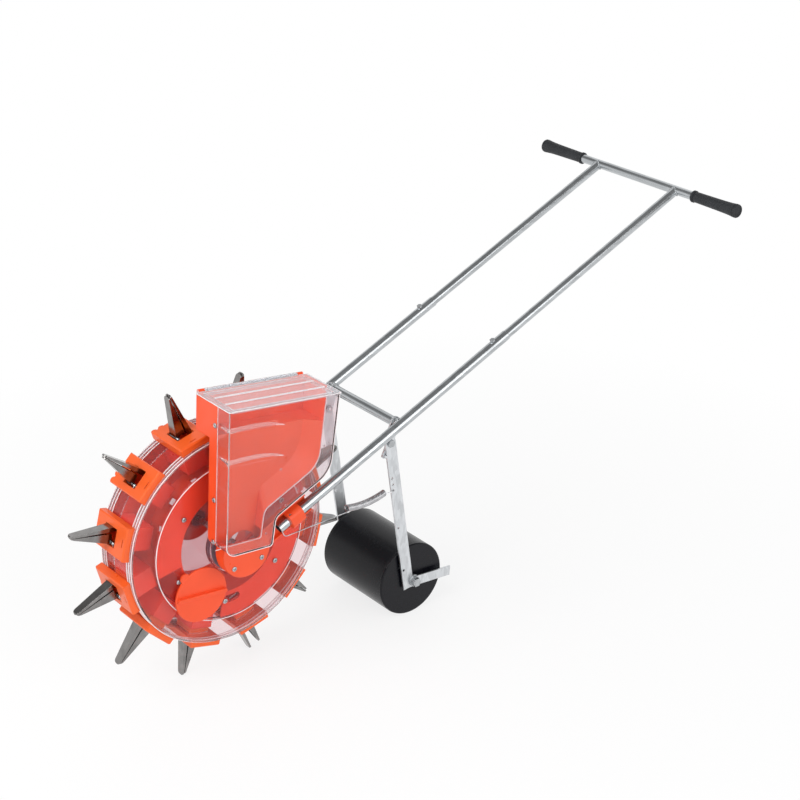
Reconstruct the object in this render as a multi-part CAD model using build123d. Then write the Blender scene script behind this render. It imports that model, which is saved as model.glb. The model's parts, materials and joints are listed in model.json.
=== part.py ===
"""Walk-behind seed planter: a rotary dibble drum, a side hopper, a press roller and a push handle.

Millimetres. X forward, Y to the hopper side, Z up. Everything is worked out about the wheel centre,
in the plane of the openers, and is moved at the end so that the origin lies under the middle of the
whole machine, on the ground.
"""
import os
from math import asin, cos, degrees, hypot, pi, radians, sin, sqrt

from build123d import *

# Drum of the wheel
DRUM_RADIUS = 204.0
DRUM_NEAR = 61.0
DRUM_FAR = 42.0
DISC_WALL = 3.0
STEP_RADIUS = 158.0
STEP_HEIGHT = 5.0
RIB_COUNT = 5
RIB_INSET = 2.5
RIB_PITCH = 3.6
RIB_WIDTH = 1.4
RIB_HEIGHT = 1.2

# Hub, bearings and axle
SPOUT_RADIUS = 40.0
SPOUT_WALL = 4.0
SPOUT_FLANGE = 6.0
HUB_BEARING_RADIUS = 51.0
HUB_BEARING_WIDTH = 14.0
HUB_LIP = 4.0
HUB_GAP = 8.0
AXLE_RADIUS = 6.0
FAR_BEARING_RADIUS = 16.0
FAR_BEARING_WIDTH = 10.0
FAR_PLATE_GAP = 6.0
FAR_PLATE_WALL = 6.0
FAR_PLATE_RADIUS = 50.0
BOSS_WALL = 5.0
SPIDER_RIBS = 3
SPIDER_RIB_WIDTH = 4.0

# Seed ring and chutes inside the drum
RING_INNER_RADIUS = 104.0
RING_WALL = 3.0
CHUTE_DEPTH = 42.0
CHUTE_LENGTH = 44.0
CHUTE_NEAR = 30.0
CHUTE_WALL = 2.5
PICKUP_LENGTH = 26.0
PICKUP_WIDTH = 12.0
WINDOW_START = -80.0
WINDOW_SPAN = 70.0
KIDNEY_ANGLE = -90.0
KIDNEY_SPAN = 9.0
KIDNEY_RADIUS = 120.0
KIDNEY_WIDTH = 15.0
DRUM_SCREW_COUNT = 6
DRUM_SCREW_RADIUS = 122.0
DRUM_SCREW_ANGLE = -142.0

# Openers
OPENER_COUNT = 12
BEAK_LENGTH = 82.0
TIP_ROUND = 3.5
TIP_WIDTH = 16.0
BASE_LENGTH = 64.0
BASE_NEAR = 53.0
BASE_FAR = 44.0
BASE_RISE = 14.0
BASE_CHAMFER = 2.0
MOUTH_LENGTH = 36.0
MOUTH_NEAR = 22.0
MOUTH_FAR = 15.0
COLLAR_WALL = 3.0
COLLAR_DEPTH = 11.0
HOOK_RADIUS = 6.0
HOOK_SPACING = 15.0
HOOK_HEIGHT = 9.0
SNAP_SLOT_LENGTH = 14.0
SNAP_SLOT_WIDTH = 2.0
SNAP_SLOT_INSET = 9.0
JAW_WIDTH = 21.0
JAW_SHEET = 1.5
JAW_SPLIT = 9.0
JAW_GAP = 0.8
JAW_SHORTER = 2.5
JAW_SINK = 4.0
HINGE_PIN_RADIUS = 2.0
HINGE_BARREL_RADIUS = 3.6
HINGE_FORWARD = 12.5
SPRING_WIRE = 1.0
SPRING_LEG_RADIUS = 0.4
JAW_SPRING_TURNS = 6
OPEN_JAW = 8
OPEN_JAW_ANGLE = 13.0

# Clean-out port and cap
PORT_CIRCLE = 110.0
PORT_ANGLE = -49.5
PORT_RADIUS = 44.0
PORT_RIM = 4.0
CAP_RADIUS = 54.0
CAP_WALL = 4.0
CAP_PLUG_DEPTH = 7.0
CAP_PLUG_WALL = 3.0
CAP_ROUND = 1.3
CAP_RIDGE_LENGTH = 104.0
CAP_RIDGE_WIDTH = 7.0
CAP_RIDGE_HEIGHT = 6.0
CAP_RIDGE_ROUND = 2.8
CAP_RIDGE_ANGLE = 6.0
CAP_EAR_RADIUS = 10.0
CAP_EAR_WALL = 3.2
CAP_EAR_ANGLE = 54.0
GASKET_WIRE = 1.5
GASKET_HEIGHT = 3.0

# Handle tubes; stations are distances along a tube from its nearest point to the axle
TUBE_RISE = 23.755
TUBE_DROP = 13.3
TUBE_SPACING = 220.0
LOWER_TUBE_RADIUS = 10.0
TUBE_WALL = 1.2
TUBE_START = 76.0
CLAMP_STATION = 114.0
CROSS_STATION = 385.0
JOINT_STATION = 670.0
BAR_STATION = 1164.5
JOINT_OVERLAP = 60.0
JOINT_BOLT_INSET = 33.0
CROSS_TUBE_RADIUS = 9.5
BAR_RADIUS = 9.0
BAR_LENGTH = 550.0
GRIP_LENGTH = 117.0
GRIP_RADIUS = 14.0
GRIP_WAIST = 10.8
GRIP_MIDDLE_RADIUS = 11.9
GRIP_COLLAR_RADIUS = 12.3
GRIP_COLLAR_LENGTH = 5.0
GRIP_END_WALL = 4.0
BOLT_RADIUS = 3.0
BOLT_HEAD_RADIUS = 5.5
BOLT_HEAD_HEIGHT = 4.0

# Tube clamps
CLAMP_LENGTH = 30.0
CLAMP_HEIGHT = 34.0
CLAMP_WALL = 6.0
CLAMP_FILLET = 11.0
CLAMP_BOLT_DEPTH = 20.0

# Hopper; the side view is the same for both shells
HOPPER_FRONT = 50.0
HOPPER_RISE = 98.0
HOPPER_TOP_LENGTH = 236.0
HOPPER_TOP_SLOPE = 7.0
HOPPER_FRONT_LEAN = 3.5
HOPPER_REAR_LEAN = 8.5
HOPPER_TUBE_GAP = 62.0
NECK_REAR = -31.0
NECK_LEAN = 10.0
FLOOR_LEVEL = 17.5
FLOOR_SLOPE = 5.0
HOPPER_FAR = 52.0
HOPPER_SEAM = 118.0
HOPPER_NEAR = 154.0
HOPPER_WALL = 2.5
HOPPER_LEDGE = 67.0
HOPPER_RAMP = 30.0
HOPPER_CORNER = 7.0
HOPPER_REAR_ROUND = 50.0
HOPPER_NECK_ROUND = 18.0
HOPPER_TOE_ROUND = 20.0
BEAD_DROPS = (34.0, 98.0)
BEAD_RADIUS = 8.0
BEAD_HEIGHT = 1.6
BEAD_LENGTH = 90.0
FOOT_RADIUS = 50.0
OUTLET_RADIUS = 33.0
ARM_PLATE_WALL = 6.0
ARM_FLANGE_WALL = 3.0
ARM_FLANGE_HEIGHT = 8.0
ARM_START_STATION = 24.0
ARM_END_STATION = 152.0
SEAM_SCREW_DROPS = (38.0, 180.0, 262.0)
SEAM_SCREW_INSET = 6.0
FOOT_SCREW_ANGLES = (-42.0, -145.0)
FOOT_SCREW_RADIUS = 38.0
SCREW_RADIUS = 1.6
SCREW_HEAD_RADIUS = 4.8
SCREW_HEAD_HEIGHT = 2.4

# Hopper lid
LID_WALL = 2.5
LID_OVERHANG = 2.0
LID_LIP = 6.0
LID_LIP_INSET = 10.0
LID_RIB_HEIGHT = 1.5
LID_RIB_WIDTH = 3.0
LID_RIB_INSET = 12.0
LID_RIB_PLACES = (0.36, 0.68)
LID_PIN_RADIUS = 2.0
LID_BARREL_RADIUS = 4.0
LID_LUG_LENGTH = 12.0
LID_LUG_INSET = 6.0

# Press roller
ROLLER_RADIUS = 76.0
ROLLER_LENGTH = 185.6
ROLLER_WALL = 5.0
ROLLER_CAP_WALL = 6.0
ROLLER_EDGE = 3.0
ROLLER_BACK = 402.0
ROLLER_AXLE_RADIUS = 6.0
BUSH_WALL = 3.0
BUSH_LENGTH = 16.0
HUB_TUBE_WALL = 4.0

# Roller arms, pivot lugs and scraper
PIVOT_BACK = 342.0
PIVOT_HEIGHT = 106.0
PIVOT_RADIUS = 4.0
ARM_WIDTH = 24.5
ARM_AHEAD = 14.0
ARM_WALL = 4.0
ARM_SIDE_GAP = 4.5
ARM_SPRING_HOLES = (76.0, 90.0, 103.0)
ARM_SPARE_HOLES = (190.0, 290.0)
ARM_HOLE_RADIUS = 2.6
ARM_HOLE_FORWARD = 7.0
LUG_WALL = 4.0
LUG_WIDTH = 22.0
STOP_RADIUS = 3.0
STOP_DROP = 24.0
SCRAPER_WIDTH = 20.0
SCRAPER_WALL = 3.0
SCRAPER_REACH = 15.0
SCRAPER_GAP = 2.0
SCRAPER_TILT = 5.0
NUT_RADIUS = 9.5
NUT_HEIGHT = 7.0
WASHER_WALL = 1.5

# Tension springs from the arms to the clamps
COIL_RADIUS = 7.0
COIL_WIRE = 2.0
COIL_LENGTH = 98.0
COIL_SETBACK = 22.0
HOOK_STATION = 80.0
HOOK_DROP = 25.5
HOOK_REACH = 6.0
HOOK_STANDOFF = 3.0

# Clearances, and how far a cut runs past the face it opens
RUNNING_GAP = 0.05
FIT_GAP = 0.05
MOVING_GAP = 0.4
OVERCUT = 1.0


# Helpers

def side_slab(face, y_low, y_high):
    """Solid of a side-view face (its x forward, its y up) between two planes across the machine."""
    plane = Plane(origin=(0, y_high, 0), x_dir=(1, 0, 0), z_dir=(0, -1, 0))
    return extrude(plane * face, amount=y_high - y_low)


def side_funnel(low_face, high_face, y_low, y_high):
    """Solid that runs straight from one side-view face at y_low to another at y_high."""
    low = Plane(origin=(0, y_low, 0), x_dir=(1, 0, 0), z_dir=(0, -1, 0))
    high = Plane(origin=(0, y_high, 0), x_dir=(1, 0, 0), z_dir=(0, -1, 0))
    return loft([low * low_face, high * high_face], ruled=True)


def rod_y(place, radius, y_low, y_high):
    """Round bar across the machine, at a side-view place."""
    centre = Pos(place[0], (y_low + y_high) / 2, place[1])
    return centre * Rot(90, 0, 0) * Cylinder(radius, y_high - y_low)


def ring_y(place, outer, inner, y_low, y_high):
    """Round sleeve across the machine."""
    return rod_y(place, outer, y_low, y_high) - rod_y(place, inner, y_low - OVERCUT, y_high + OVERCUT)


def hex_y(place, radius, y_low, y_high):
    """Hexagon nut or bolt head across the machine."""
    return side_slab(Pos(place[0], place[1]) * RegularPolygon(radius, 6), y_low, y_high)


def spun(points):
    """Solid turned about the wheel axis from (radius, Y) points."""
    return revolve(make_face(Polyline(*points, close=True)), Axis.Y)


def polar(radius, angle):
    """Side-view place from a radius and an angle measured from forward towards up."""
    return (radius * cos(radians(angle)), radius * sin(radians(angle)))


def step_from(place, length, angle):
    """Side-view place at a distance and an angle from another one."""
    offset = polar(length, angle)
    return (place[0] + offset[0], place[1] + offset[1])


def meet(first, first_angle, second, second_angle):
    """Side-view place where two lines cross."""
    a = polar(1, first_angle)
    b = polar(1, second_angle)
    gap = (second[0] - first[0], second[1] - first[1])
    along = (gap[0] * b[1] - gap[1] * b[0]) / (a[0] * b[1] - a[1] * b[0])
    return (first[0] + along * a[0], first[1] + along * a[1])


def rounded_face(corners):
    """Side-view face from (place, corner radius) pairs."""
    face = make_face(Polyline(*[place for place, _ in corners], close=True))
    for place, radius in corners:
        if radius > 0:
            corner = face.vertices().sort_by_distance((place[0], place[1], 0))[0]
            face = fillet(corner, radius)
    return face


def ring_sector(inner, outer, start, span):
    """Side-view face of a part of a flat ring, from a start angle over a span."""
    reach = 2 * outer
    wedge = make_face(Polyline((0, 0), polar(reach, start), polar(reach, start + span), close=True))
    return (Circle(outer) - Circle(inner)) & wedge


def bar_face(start, end, width):
    """Side-view face of a straight flat bar with round ends."""
    length = hypot(end[0] - start[0], end[1] - start[1])
    turn = degrees(asin((end[1] - start[1]) / length))
    if end[0] < start[0]:
        turn = 180 - turn
    middle = ((start[0] + end[0]) / 2, (start[1] + end[1]) / 2)
    return Pos(*middle) * Rot(0, 0, turn) * SlotCenterToCenter(length, width)


def wire(start, end, radius):
    """Straight round wire between two points, with round ends."""
    start = Vector(*start)
    end = Vector(*end)
    rod = Plane(origin=start, z_dir=end - start) * Cylinder(
        radius, (end - start).length, align=(Align.CENTER, Align.CENTER, Align.MIN))
    return rod + Pos(*start) * Sphere(radius) + Pos(*end) * Sphere(radius)


# Places shared by several pieces

BASE_TOP = DRUM_RADIUS + BASE_RISE
HOPPER_TOP = DRUM_RADIUS + HOPPER_RISE
TIP_RADIUS = BASE_TOP + BEAK_LENGTH
JAW_LEVEL = BASE_TOP - JAW_SINK
BASE_WIDTH = BASE_NEAR + BASE_FAR
MOUTH_WIDTH = MOUTH_NEAR + MOUTH_FAR
MOUTH_MIDDLE = (MOUTH_NEAR - MOUTH_FAR) / 2
GROUND = -((TIP_RADIUS - TIP_ROUND) * cos(pi / OPENER_COUNT) + TIP_ROUND)
WHEEL = (0.0, 0.0)
OPENER_TURNS = [(k - 0.5) * 360 / OPENER_COUNT for k in range(OPENER_COUNT)]
HUB_FACE = DRUM_NEAR + STEP_HEIGHT
HUB_END = HUB_FACE + HUB_BEARING_WIDTH
RING_NEAR = HUB_FACE - DISC_WALL - FIT_GAP
RING_FAR = DISC_WALL - DRUM_FAR + FIT_GAP
SPOUT_FACE = HUB_END + HUB_GAP
BACK_WALL = SPOUT_FACE + SPOUT_FLANGE
FAR_HUB_END = -DRUM_FAR - FAR_BEARING_WIDTH
FAR_PLATE_NEAR = FAR_HUB_END - FAR_PLATE_GAP
FAR_PLATE_FAR = FAR_PLATE_NEAR - FAR_PLATE_WALL
HALF_SPACING = TUBE_SPACING / 2
UPPER_TUBE_RADIUS = LOWER_TUBE_RADIUS - TUBE_WALL
PORT_PLACE = polar(PORT_CIRCLE, PORT_ANGLE)
ROLLER_PLACE = (-ROLLER_BACK, GROUND + ROLLER_RADIUS)
PIVOT_PLACE = (-PIVOT_BACK, PIVOT_HEIGHT)
ARM_FOOT = (ROLLER_PLACE[0] + ARM_AHEAD, ROLLER_PLACE[1])
ARM_INNER = ROLLER_LENGTH / 2 + ARM_SIDE_GAP
ARM_OUTER = ARM_INNER + ARM_WALL
TUBE_DIRECTION = 180 - TUBE_RISE
TUBE_FOOT = polar(TUBE_DROP, 270 - TUBE_RISE)


def tube_place(station, above=0.0):
    """Side-view place at a station of the handle tubes, and a distance above their centre line."""
    return step_from(step_from(TUBE_FOOT, station, TUBE_DIRECTION), above, 90 - TUBE_RISE)


def tube_frame(station, y):
    """Frame on a handle tube: its z runs up the tube and its x stands off it, upwards."""
    place = tube_place(station)
    return Pos(place[0], y, place[1]) * Rot(0, TUBE_RISE - 90, 0)


def tube_bar(radius, start, end, y):
    """Round bar along a handle tube between two stations."""
    return tube_frame((start + end) / 2, y) * Cylinder(radius, end - start)


# Wheel: discs, ring and chutes

def at_openers(shape):
    """Copies of a shape at every opener, from the one at the top."""
    return [Rot(0, turn, 0) * shape for turn in OPENER_TURNS]


def rim_ribs(face_y, inwards):
    """Fine ribs round one edge of the rim."""
    ribs = []
    for k in range(RIB_COUNT):
        middle = face_y + inwards * (RIB_INSET + RIB_PITCH * k)
        low = middle - RIB_WIDTH / 2
        root = DRUM_RADIUS - DISC_WALL / 2
        ribs.append(ring_y(WHEEL, DRUM_RADIUS + RIB_HEIGHT, root, low, low + RIB_WIDTH))
    return ribs


def collar_hole():
    """Rim opening for the collar of one opener base, at the top of the wheel."""
    length = MOUTH_LENGTH + 2 * COLLAR_WALL + 2 * MOVING_GAP
    width = MOUTH_WIDTH + 2 * COLLAR_WALL + 2 * MOVING_GAP
    return Pos(0, MOUTH_MIDDLE, DRUM_RADIUS) * Box(length, width, 6 * DISC_WALL)


def drum_screw_places():
    """Side-view places of the drum screws."""
    step = 360 / DRUM_SCREW_COUNT
    return [polar(DRUM_SCREW_RADIUS, DRUM_SCREW_ANGLE + step * k) for k in range(DRUM_SCREW_COUNT)]


def near_disc():
    """Clear disc of the hopper side, with its rim, raised middle, hub neck and clean-out port."""
    inside = DRUM_NEAR - DISC_WALL
    raised = HUB_FACE - DISC_WALL
    neck = HUB_BEARING_RADIUS + DISC_WALL
    disc = spun([
        (DRUM_RADIUS - DISC_WALL, FIT_GAP), (DRUM_RADIUS, FIT_GAP), (DRUM_RADIUS, DRUM_NEAR),
        (STEP_RADIUS, DRUM_NEAR),
        (STEP_RADIUS, HUB_FACE), (neck, HUB_FACE), (neck, HUB_END), (HUB_BEARING_RADIUS, HUB_END),
        (HUB_BEARING_RADIUS, HUB_FACE), (HUB_BEARING_RADIUS - HUB_LIP, HUB_FACE),
        (HUB_BEARING_RADIUS - HUB_LIP, raised), (STEP_RADIUS - DISC_WALL, raised),
        (STEP_RADIUS - DISC_WALL, inside), (DRUM_RADIUS - DISC_WALL, inside),
    ])
    disc += rim_ribs(DRUM_NEAR, -1)
    disc += rod_y(PORT_PLACE, PORT_RADIUS + DISC_WALL, raised, HUB_FACE + PORT_RIM)
    disc -= rod_y(PORT_PLACE, PORT_RADIUS, inside - OVERCUT, HUB_FACE + PORT_RIM + OVERCUT)
    disc -= at_openers(collar_hole())
    for place in drum_screw_places():
        disc -= rod_y(place, SCREW_RADIUS + FIT_GAP, raised - OVERCUT, HUB_FACE + OVERCUT)
    return disc


def far_disc():
    """Clear disc of the plain side, with its rim and bearing neck."""
    inside = DISC_WALL - DRUM_FAR
    neck = FAR_BEARING_RADIUS + DISC_WALL
    disc = spun([
        (DRUM_RADIUS - DISC_WALL, 0), (DRUM_RADIUS, 0), (DRUM_RADIUS, -DRUM_FAR), (neck, -DRUM_FAR),
        (neck, FAR_HUB_END), (FAR_BEARING_RADIUS, FAR_HUB_END), (FAR_BEARING_RADIUS, inside),
        (DRUM_RADIUS - DISC_WALL, inside),
    ])
    disc += rim_ribs(-DRUM_FAR, 1)
    disc -= at_openers(collar_hole())
    return disc


def seed_ring():
    """Ring that carries the seed: inner wall with pick-up slots, a near flange and a far flange."""
    near = RING_NEAR
    far = RING_FAR
    wall = RING_INNER_RADIUS + RING_WALL
    near_edge = STEP_RADIUS - DISC_WALL - MOVING_GAP
    far_edge = DRUM_RADIUS - 2 * DISC_WALL
    ring = spun([
        (RING_INNER_RADIUS, far), (far_edge, far), (far_edge, far + RING_WALL), (wall, far + RING_WALL),
        (wall, near - RING_WALL), (near_edge, near - RING_WALL), (near_edge, near), (RING_INNER_RADIUS, near),
    ])
    slot = Pos(0, 0, RING_INNER_RADIUS + RING_WALL / 2) * Box(PICKUP_WIDTH, PICKUP_LENGTH, 4 * RING_WALL)
    ring -= at_openers(slot)
    window = ring_sector(wall, STEP_RADIUS, WINDOW_START, WINDOW_SPAN)
    kidney = ring_sector(KIDNEY_RADIUS - KIDNEY_WIDTH / 2, KIDNEY_RADIUS + KIDNEY_WIDTH / 2,
                         KIDNEY_ANGLE - KIDNEY_SPAN / 2, KIDNEY_SPAN)
    for end in (KIDNEY_ANGLE - KIDNEY_SPAN / 2, KIDNEY_ANGLE + KIDNEY_SPAN / 2):
        kidney += Pos(*polar(KIDNEY_RADIUS, end)) * Circle(KIDNEY_WIDTH / 2)
    ring -= side_slab(window, near - RING_WALL, near + OVERCUT)
    ring -= side_slab(kidney, near - RING_WALL - OVERCUT, near + OVERCUT)
    for place in drum_screw_places():
        ring -= rod_y(place, SCREW_RADIUS + FIT_GAP, near - RING_WALL - OVERCUT, near + OVERCUT)
    return ring


def seed_chutes():
    """Open boxes that lead seed from the ring out to each opener."""
    far = RING_FAR + RING_WALL
    top = DRUM_RADIUS - DISC_WALL - COLLAR_DEPTH
    width = CHUTE_NEAR - far
    middle = Pos(0, (CHUTE_NEAR + far) / 2, top - CHUTE_DEPTH / 2)
    chute = Box(CHUTE_LENGTH, width, CHUTE_DEPTH)
    chute -= Box(CHUTE_LENGTH - 2 * CHUTE_WALL, width - 2 * CHUTE_WALL, CHUTE_DEPTH + 2 * OVERCUT)
    return at_openers(middle * chute)


def drum_screws():
    """Screws that hold the near disc to the seed ring."""
    shank_low = RING_NEAR - RING_WALL
    screws = []
    for place in drum_screw_places():
        screw = rod_y(place, SCREW_RADIUS, shank_low, HUB_FACE)
        screws.append(screw + rod_y(place, SCREW_HEAD_RADIUS, HUB_FACE, HUB_FACE + SCREW_HEAD_HEIGHT))
    return screws


# Openers, all drawn at the top of the wheel: x leads, z is the radius

HINGE_PLACE = (HINGE_FORWARD, JAW_LEVEL)
PIN_SPAN = (-MOUTH_FAR - COLLAR_WALL, MOUTH_NEAR + COLLAR_WALL)


def opener_base():
    """Orange block on the rim, with its collar through the rim, hooks and snap slot."""
    seat = DRUM_RADIUS + RIB_HEIGHT + FIT_GAP
    floor = sqrt(seat ** 2 - (BASE_LENGTH / 2) ** 2) - OVERCUT
    height = BASE_TOP - floor
    middle = Pos(0, (BASE_NEAR - BASE_FAR) / 2, floor + height / 2)
    block = middle * Box(BASE_LENGTH, BASE_WIDTH, height)
    block = chamfer(block.faces().sort_by(Axis.Z)[-1].edges(), BASE_CHAMFER)
    hook_level = BASE_TOP - HOOK_HEIGHT
    for x in (BASE_LENGTH / 2 - HOOK_RADIUS, BASE_LENGTH / 2 - HOOK_RADIUS - HOOK_SPACING):
        hook = Pos(x, -BASE_FAR, hook_level + HOOK_HEIGHT / 2 - BASE_CHAMFER)
        block += hook * Cylinder(HOOK_RADIUS, HOOK_HEIGHT)
    block -= rod_y(WHEEL, seat, -BASE_WIDTH, BASE_WIDTH)
    collar_top = BASE_TOP - BASE_CHAMFER
    collar_low = DRUM_RADIUS - DISC_WALL - COLLAR_DEPTH
    collar_height = collar_top - collar_low
    collar = Pos(0, MOUTH_MIDDLE, collar_low + collar_height / 2)
    block += collar * Box(MOUTH_LENGTH + 2 * COLLAR_WALL, MOUTH_WIDTH + 2 * COLLAR_WALL, collar_height)
    block -= Pos(0, MOUTH_MIDDLE, BASE_TOP) * Box(MOUTH_LENGTH, MOUTH_WIDTH, BASE_TOP)
    slot_y = BASE_NEAR - SNAP_SLOT_INSET
    block -= Pos(0, slot_y, BASE_TOP) * Box(SNAP_SLOT_LENGTH, SNAP_SLOT_WIDTH, BASE_CHAMFER * 4)
    return block - rod_y(HINGE_PLACE, HINGE_PIN_RADIUS + FIT_GAP, *PIN_SPAN)


def jaw_edges():
    """Side-view corners of a closed beak at its base: the trailing one and the leading one."""
    half = MOUTH_LENGTH / 2
    return (-half, BASE_TOP), (HINGE_FORWARD + HINGE_BARREL_RADIUS - JAW_SHEET, JAW_LEVEL)


def beak_front(inset, top):
    """Bar through a beak's front view: straight at the root, tapered above the base, round at the tip."""
    root = JAW_WIDTH / 2 - inset
    tip = TIP_WIDTH / 2 - inset
    shoulder = top - inset - tip
    outline = make_face([
        Polyline((tip, shoulder), (root, BASE_TOP), (root, 0), (-root, 0), (-root, BASE_TOP), (-tip, shoulder)),
        CenterArc((0, shoulder), tip, 0, 180),
    ])
    plane = Plane(origin=(-MOUTH_LENGTH, 0, 0), x_dir=(0, 1, 0), z_dir=(1, 0, 0))
    return extrude(plane * outline, amount=2 * MOUTH_LENGTH)


def bent_sheet(outline, inside, top):
    """Half a beak from its side views: the outline, hollowed so that a sheet of even wall is left."""
    half = JAW_WIDTH / 2
    body = side_slab(outline, -half, half) & beak_front(0, top)
    return body - (side_slab(inside, -half, half) & beak_front(JAW_SHEET, top))


def fixed_jaw():
    """Trailing half of a beak: a bent sheet channel that stands in the base."""
    trailing, _ = jaw_edges()
    low = DRUM_RADIUS - DISC_WALL
    tip = TIP_RADIUS - TIP_ROUND
    split_low = trailing[0] + JAW_SPLIT
    outline = make_face([
        Polyline((0, TIP_RADIUS), (0, tip), (split_low, BASE_TOP), (split_low, low), (trailing[0], low),
                 trailing, (-TIP_ROUND, tip)),
        CenterArc((0, tip), TIP_ROUND, 90, 90),
    ])
    inside = make_face(Polyline(
        (trailing[0] + JAW_SHEET, low - OVERCUT), (trailing[0] + JAW_SHEET, BASE_TOP), (0, tip - 2 * JAW_SHEET),
        (JAW_SPLIT, BASE_TOP), (JAW_SPLIT, low - OVERCUT), close=True))
    return bent_sheet(outline, inside, TIP_RADIUS)


def moving_jaw():
    """Leading half of a beak: a bent sheet channel that swings on the hinge pin."""
    trailing, leading = jaw_edges()
    top = TIP_RADIUS - JAW_SHORTER
    tip = top - TIP_ROUND
    heel = (trailing[0] + JAW_SPLIT + JAW_GAP + 2 * JAW_SHEET, BASE_TOP + JAW_SHEET)
    outline = rounded_face([
        (leading, 0), (HINGE_PLACE, 0), (heel, JAW_SHEET), ((JAW_GAP, tip), 0), ((JAW_GAP, top), 0),
        ((TIP_ROUND, top), TIP_ROUND / 2), ((TIP_ROUND, tip), 0),
    ])
    inside = make_face(Polyline(
        (leading[0] - JAW_SHEET, JAW_LEVEL - OVERCUT), (-JAW_LEVEL, JAW_LEVEL - OVERCUT), (0, top),
        (TIP_ROUND - JAW_SHEET, tip - 2 * JAW_SHEET), close=True))
    jaw = bent_sheet(outline, inside, top)
    jaw += rod_y(HINGE_PLACE, HINGE_BARREL_RADIUS, -JAW_WIDTH / 2, JAW_WIDTH / 2)
    return jaw - rod_y(HINGE_PLACE, HINGE_PIN_RADIUS + RUNNING_GAP, -JAW_WIDTH, JAW_WIDTH)


def placed_moving_jaw(number):
    """Moving jaw of one opener; the one pressed open by the ground stands open."""
    jaw = moving_jaw()
    if number == OPEN_JAW:
        to_hinge = Pos(HINGE_PLACE[0], 0, HINGE_PLACE[1])
        jaw = to_hinge * Rot(0, OPEN_JAW_ANGLE, 0) * to_hinge.inverse() * jaw
    return Rot(0, OPENER_TURNS[number - 1], 0) * jaw


def jaw_hinge_pin():
    """Steel pin of one jaw, held in the walls of the base."""
    return rod_y(HINGE_PLACE, HINGE_PIN_RADIUS, *PIN_SPAN)


def jaw_spring():
    """Torsion spring beside a jaw: a coil round the pin and a leg along the mouth."""
    bore = HINGE_PIN_RADIUS + FIT_GAP
    start = JAW_WIDTH / 2 + MOVING_GAP
    end = start + JAW_SPRING_TURNS * SPRING_WIRE
    leg_length = MOUTH_LENGTH / 2
    leg_level = HINGE_PLACE[1] + bore + SPRING_WIRE / 2
    leg = Pos(HINGE_PLACE[0] - leg_length / 2, end - SPRING_WIRE / 2, leg_level) * Rot(0, 90, 0)
    coil = ring_y(HINGE_PLACE, bore + SPRING_WIRE, bore, start, end)
    return coil + leg * Cylinder(SPRING_LEG_RADIUS, leg_length)


# Clean-out cap

def cleanout_cap():
    """Orange twist cap with a plug, a grip ridge and an ear."""
    low = HUB_FACE + PORT_RIM + MOVING_GAP
    top = low + CAP_WALL
    cap = rod_y(PORT_PLACE, CAP_RADIUS, low, top)
    cap = fillet(cap.edges().filter_by(GeomType.CIRCLE).sort_by(Axis.Y)[-1], CAP_ROUND)
    ear_place = step_from(PORT_PLACE, CAP_RADIUS, CAP_EAR_ANGLE)
    cap += rod_y(ear_place, CAP_EAR_RADIUS, low, low + CAP_EAR_WALL)
    plug_radius = PORT_RADIUS - MOVING_GAP
    cap += ring_y(PORT_PLACE, plug_radius, plug_radius - CAP_PLUG_WALL, low - CAP_PLUG_DEPTH, low)
    ridge = Rot(0, 0, CAP_RIDGE_ANGLE) * RectangleRounded(CAP_RIDGE_LENGTH, CAP_RIDGE_WIDTH, CAP_RIDGE_ROUND)
    cap += side_slab(Pos(*PORT_PLACE) * ridge, top - CAP_WALL / 2, top + CAP_RIDGE_HEIGHT)
    return cap


def cap_gasket():
    """Rubber ring under the rim of the cap, round the neck of the port."""
    low = HUB_FACE + PORT_RIM + MOVING_GAP
    inner = PORT_RADIUS + DISC_WALL + MOVING_GAP
    return ring_y(PORT_PLACE, inner + GASKET_WIRE, inner, low - GASKET_HEIGHT, low)


# Hub: spout, bearings, axle and far plate

def feed_spout():
    """Spout that carries the near end of the wheel and lets seed into the drum."""
    low = RING_NEAR - RING_WALL
    spout = ring_y(WHEEL, SPOUT_RADIUS, SPOUT_RADIUS - SPOUT_WALL, low, BACK_WALL)
    flange = HUB_BEARING_RADIUS - HUB_LIP
    spout += ring_y(WHEEL, flange, SPOUT_RADIUS - SPOUT_WALL, SPOUT_FACE, BACK_WALL)
    spout += rod_y(WHEEL, AXLE_RADIUS + BOSS_WALL, SPOUT_FACE, BACK_WALL)
    reach = SPOUT_RADIUS - SPOUT_WALL / 2
    for k in range(SPIDER_RIBS):
        rib = Pos(reach / 2, (SPOUT_FACE + BACK_WALL) / 2, 0) * Box(reach, SPOUT_FLANGE, SPIDER_RIB_WIDTH)
        spout += Rot(0, 90 + 360 / SPIDER_RIBS * k, 0) * rib
    return spout - rod_y(WHEEL, AXLE_RADIUS + FIT_GAP, SPOUT_FACE - OVERCUT, BACK_WALL + OVERCUT)


def near_bearing():
    """Ring bearing between the spout and the neck of the near disc."""
    outer = HUB_BEARING_RADIUS - FIT_GAP
    return ring_y(WHEEL, outer, SPOUT_RADIUS + RUNNING_GAP, HUB_FACE + FIT_GAP, HUB_END)


def far_bearing():
    """Bearing between the axle and the neck of the far disc."""
    outer = FAR_BEARING_RADIUS - FIT_GAP
    return ring_y(WHEEL, outer, AXLE_RADIUS + RUNNING_GAP, FAR_HUB_END, -DRUM_FAR)


def axle():
    """Steel axle through the wheel."""
    return rod_y(WHEEL, AXLE_RADIUS, FAR_PLATE_FAR - NUT_HEIGHT, BACK_WALL + NUT_HEIGHT)


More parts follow.
